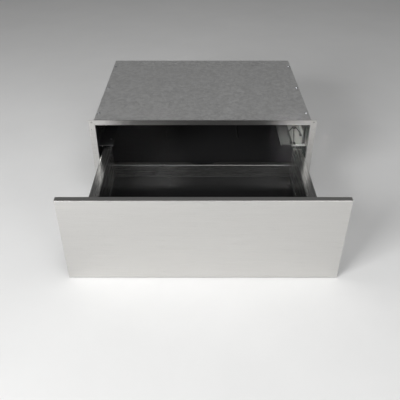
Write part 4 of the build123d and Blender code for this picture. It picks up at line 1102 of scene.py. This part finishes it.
# %% [markdown]
# ## Insulation mat
# Under the reflector lies a felted fibre mat, squeezed between two sheets. It is the one soft
# piece of the unit. A cube a little smaller than its space is subdivided, and its surface is
# roughened by a hair, so that it reads as felt and still fits between the sheets.

# %% Insulation mat
mat_low, mat_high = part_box("insulation_mat")
MAT_SHRINK = Vector((1.2, 1.2, 0.24)) * MM
FELT_CUTS = 40
FELT_FUZZ = 0.12 * MM
mat = add_primitive(
    bpy.ops.mesh.primitive_cube_add, "felt_mat", size=1.0, location=(mat_low + mat_high) / 2
)
mat.scale = mat_high - mat_low - MAT_SHRINK
apply_place()
bpy.ops.object.mode_set(mode="EDIT")
bpy.ops.mesh.select_all(action="SELECT")
bpy.ops.mesh.subdivide(number_cuts=FELT_CUTS)
bpy.ops.transform.vertex_random(offset=FELT_FUZZ, seed=7)
close_edit(mat)
fit(mat, "insulation_fibre", "drawer", "insulation_mat", smooth=80.0)

# %% [markdown]
# ## Studio
# The unit stands on a wide pale floor. Metal shows what it reflects, so the studio is built
# for that: upright faces turned to the camera mirror the floor in front and come out bright,
# while level faces mirror what is behind the unit at about 36 degrees up, which is left dim.
# The world is therefore light at the horizon, dim higher up and a little lighter overhead. The
# key soft box hangs in front to the left, a weak fill to the right lightens the frame's shaded
# corner, and a wide one overhead softens the shadows. Two narrow accents reach into the
# opening, where the others don't.

# %% Floor
FLOOR_SIZE = 28.0
FLOOR_COLOR = (0.78, 0.78, 0.775)
FLOOR_TONES = ((0.77, 0.77, 0.765), (0.80, 0.80, 0.795))
floor = add_primitive(bpy.ops.mesh.primitive_plane_add, "studio_floor", size=FLOOR_SIZE)
floor_finish, floor_shader = start_finish("studio_floor", FLOOR_COLOR, 0.0, 0.9)
floor_cloud = grain(floor_finish, UNSTRETCHED, size=3.0)
tint(floor_finish, floor_shader, floor_cloud, *FLOOR_TONES)
floor.data.materials.append(floor_finish)
print("floor", FLOOR_SIZE, "m wide")

# %% World
# Height, from the horizon at 0 to overhead at 1, and brightness
SKY_STOPS = ((0.0, 0.55), (0.16, 0.42), (0.34, 0.11), (0.7, 0.10), (1.0, 0.24))
world = bpy.data.worlds.new("studio")
bpy.context.scene.world = world
world.use_nodes = True
background = world.node_tree.nodes["Background"]
sky_place = add_node(world, "ShaderNodeTexCoord")
sky_split = add_node(world, "ShaderNodeSeparateXYZ")
sky_ramp = add_node(world, "ShaderNodeValToRGB")
sky_tones = sky_ramp.color_ramp.elements
sky_tones.remove(sky_tones[1])
for height, brightness in SKY_STOPS:
    stop = sky_tones.new(height) if height > 0.0 else sky_tones[0]
    stop.position = height
    stop.color = (brightness, brightness, brightness, 1.0)
join(world, sky_place.outputs["Generated"], sky_split.inputs["Vector"])
join(world, sky_split.outputs["Z"], sky_ramp.inputs["Fac"])
join(world, sky_ramp.outputs["Color"], background.inputs["Color"])
background.inputs["Strength"].default_value = 1.0
print("sky with", len(sky_tones), "tones from the horizon up")

# %% Soft boxes
# Name, place, target, width in metres and power in watts
SOFT_BOXES = (
    ("key", (-2.2, -2.6, 1.5), (0.2, 0.0, 0.2), 1.6, 118.0),
    ("fill", (1.3, -2.7, 1.4), (0.0, 0.0, 0.1), 1.0, 13.0),
    ("top", (0.8, -1.4, 3.0), (0.3, -0.8, 0.0), 2.4, 34.0),
)
# Name, place, target, power in watts and the angle that the light spreads over
ACCENTS = (
    ("accent_right", (-0.05, -1.2, 0.75), (0.305, 0.0, 0.15), 0.15, radians(7)),
    ("accent_left", (0.15, -1.3, 0.8), (-0.2, 0.1, 0.08), 0.075, radians(11)),
)
ACCENT_WIDTH = 0.08


def soft_box(name, place, target, width, power):
    """A square area lamp turned to its target."""
    lamp = bpy.data.objects.new(name, bpy.data.lights.new(name, "AREA"))
    bpy.context.scene.collection.objects.link(lamp)
    lamp.data.shape = "SQUARE"
    lamp.data.size = width
    lamp.data.energy = power
    lamp.location = place
    aim = Vector(target) - Vector(place)
    lamp.rotation_euler = aim.to_track_quat("-Z", "Y").to_euler()
    return lamp


for soft_box_values in SOFT_BOXES:
    soft_box(*soft_box_values)
for name, place, target, power, light_spread in ACCENTS:
    soft_box(name, place, target, ACCENT_WIDTH, power).data.spread = light_spread
print(len(SOFT_BOXES), "soft boxes and", len(ACCENTS), "accents")
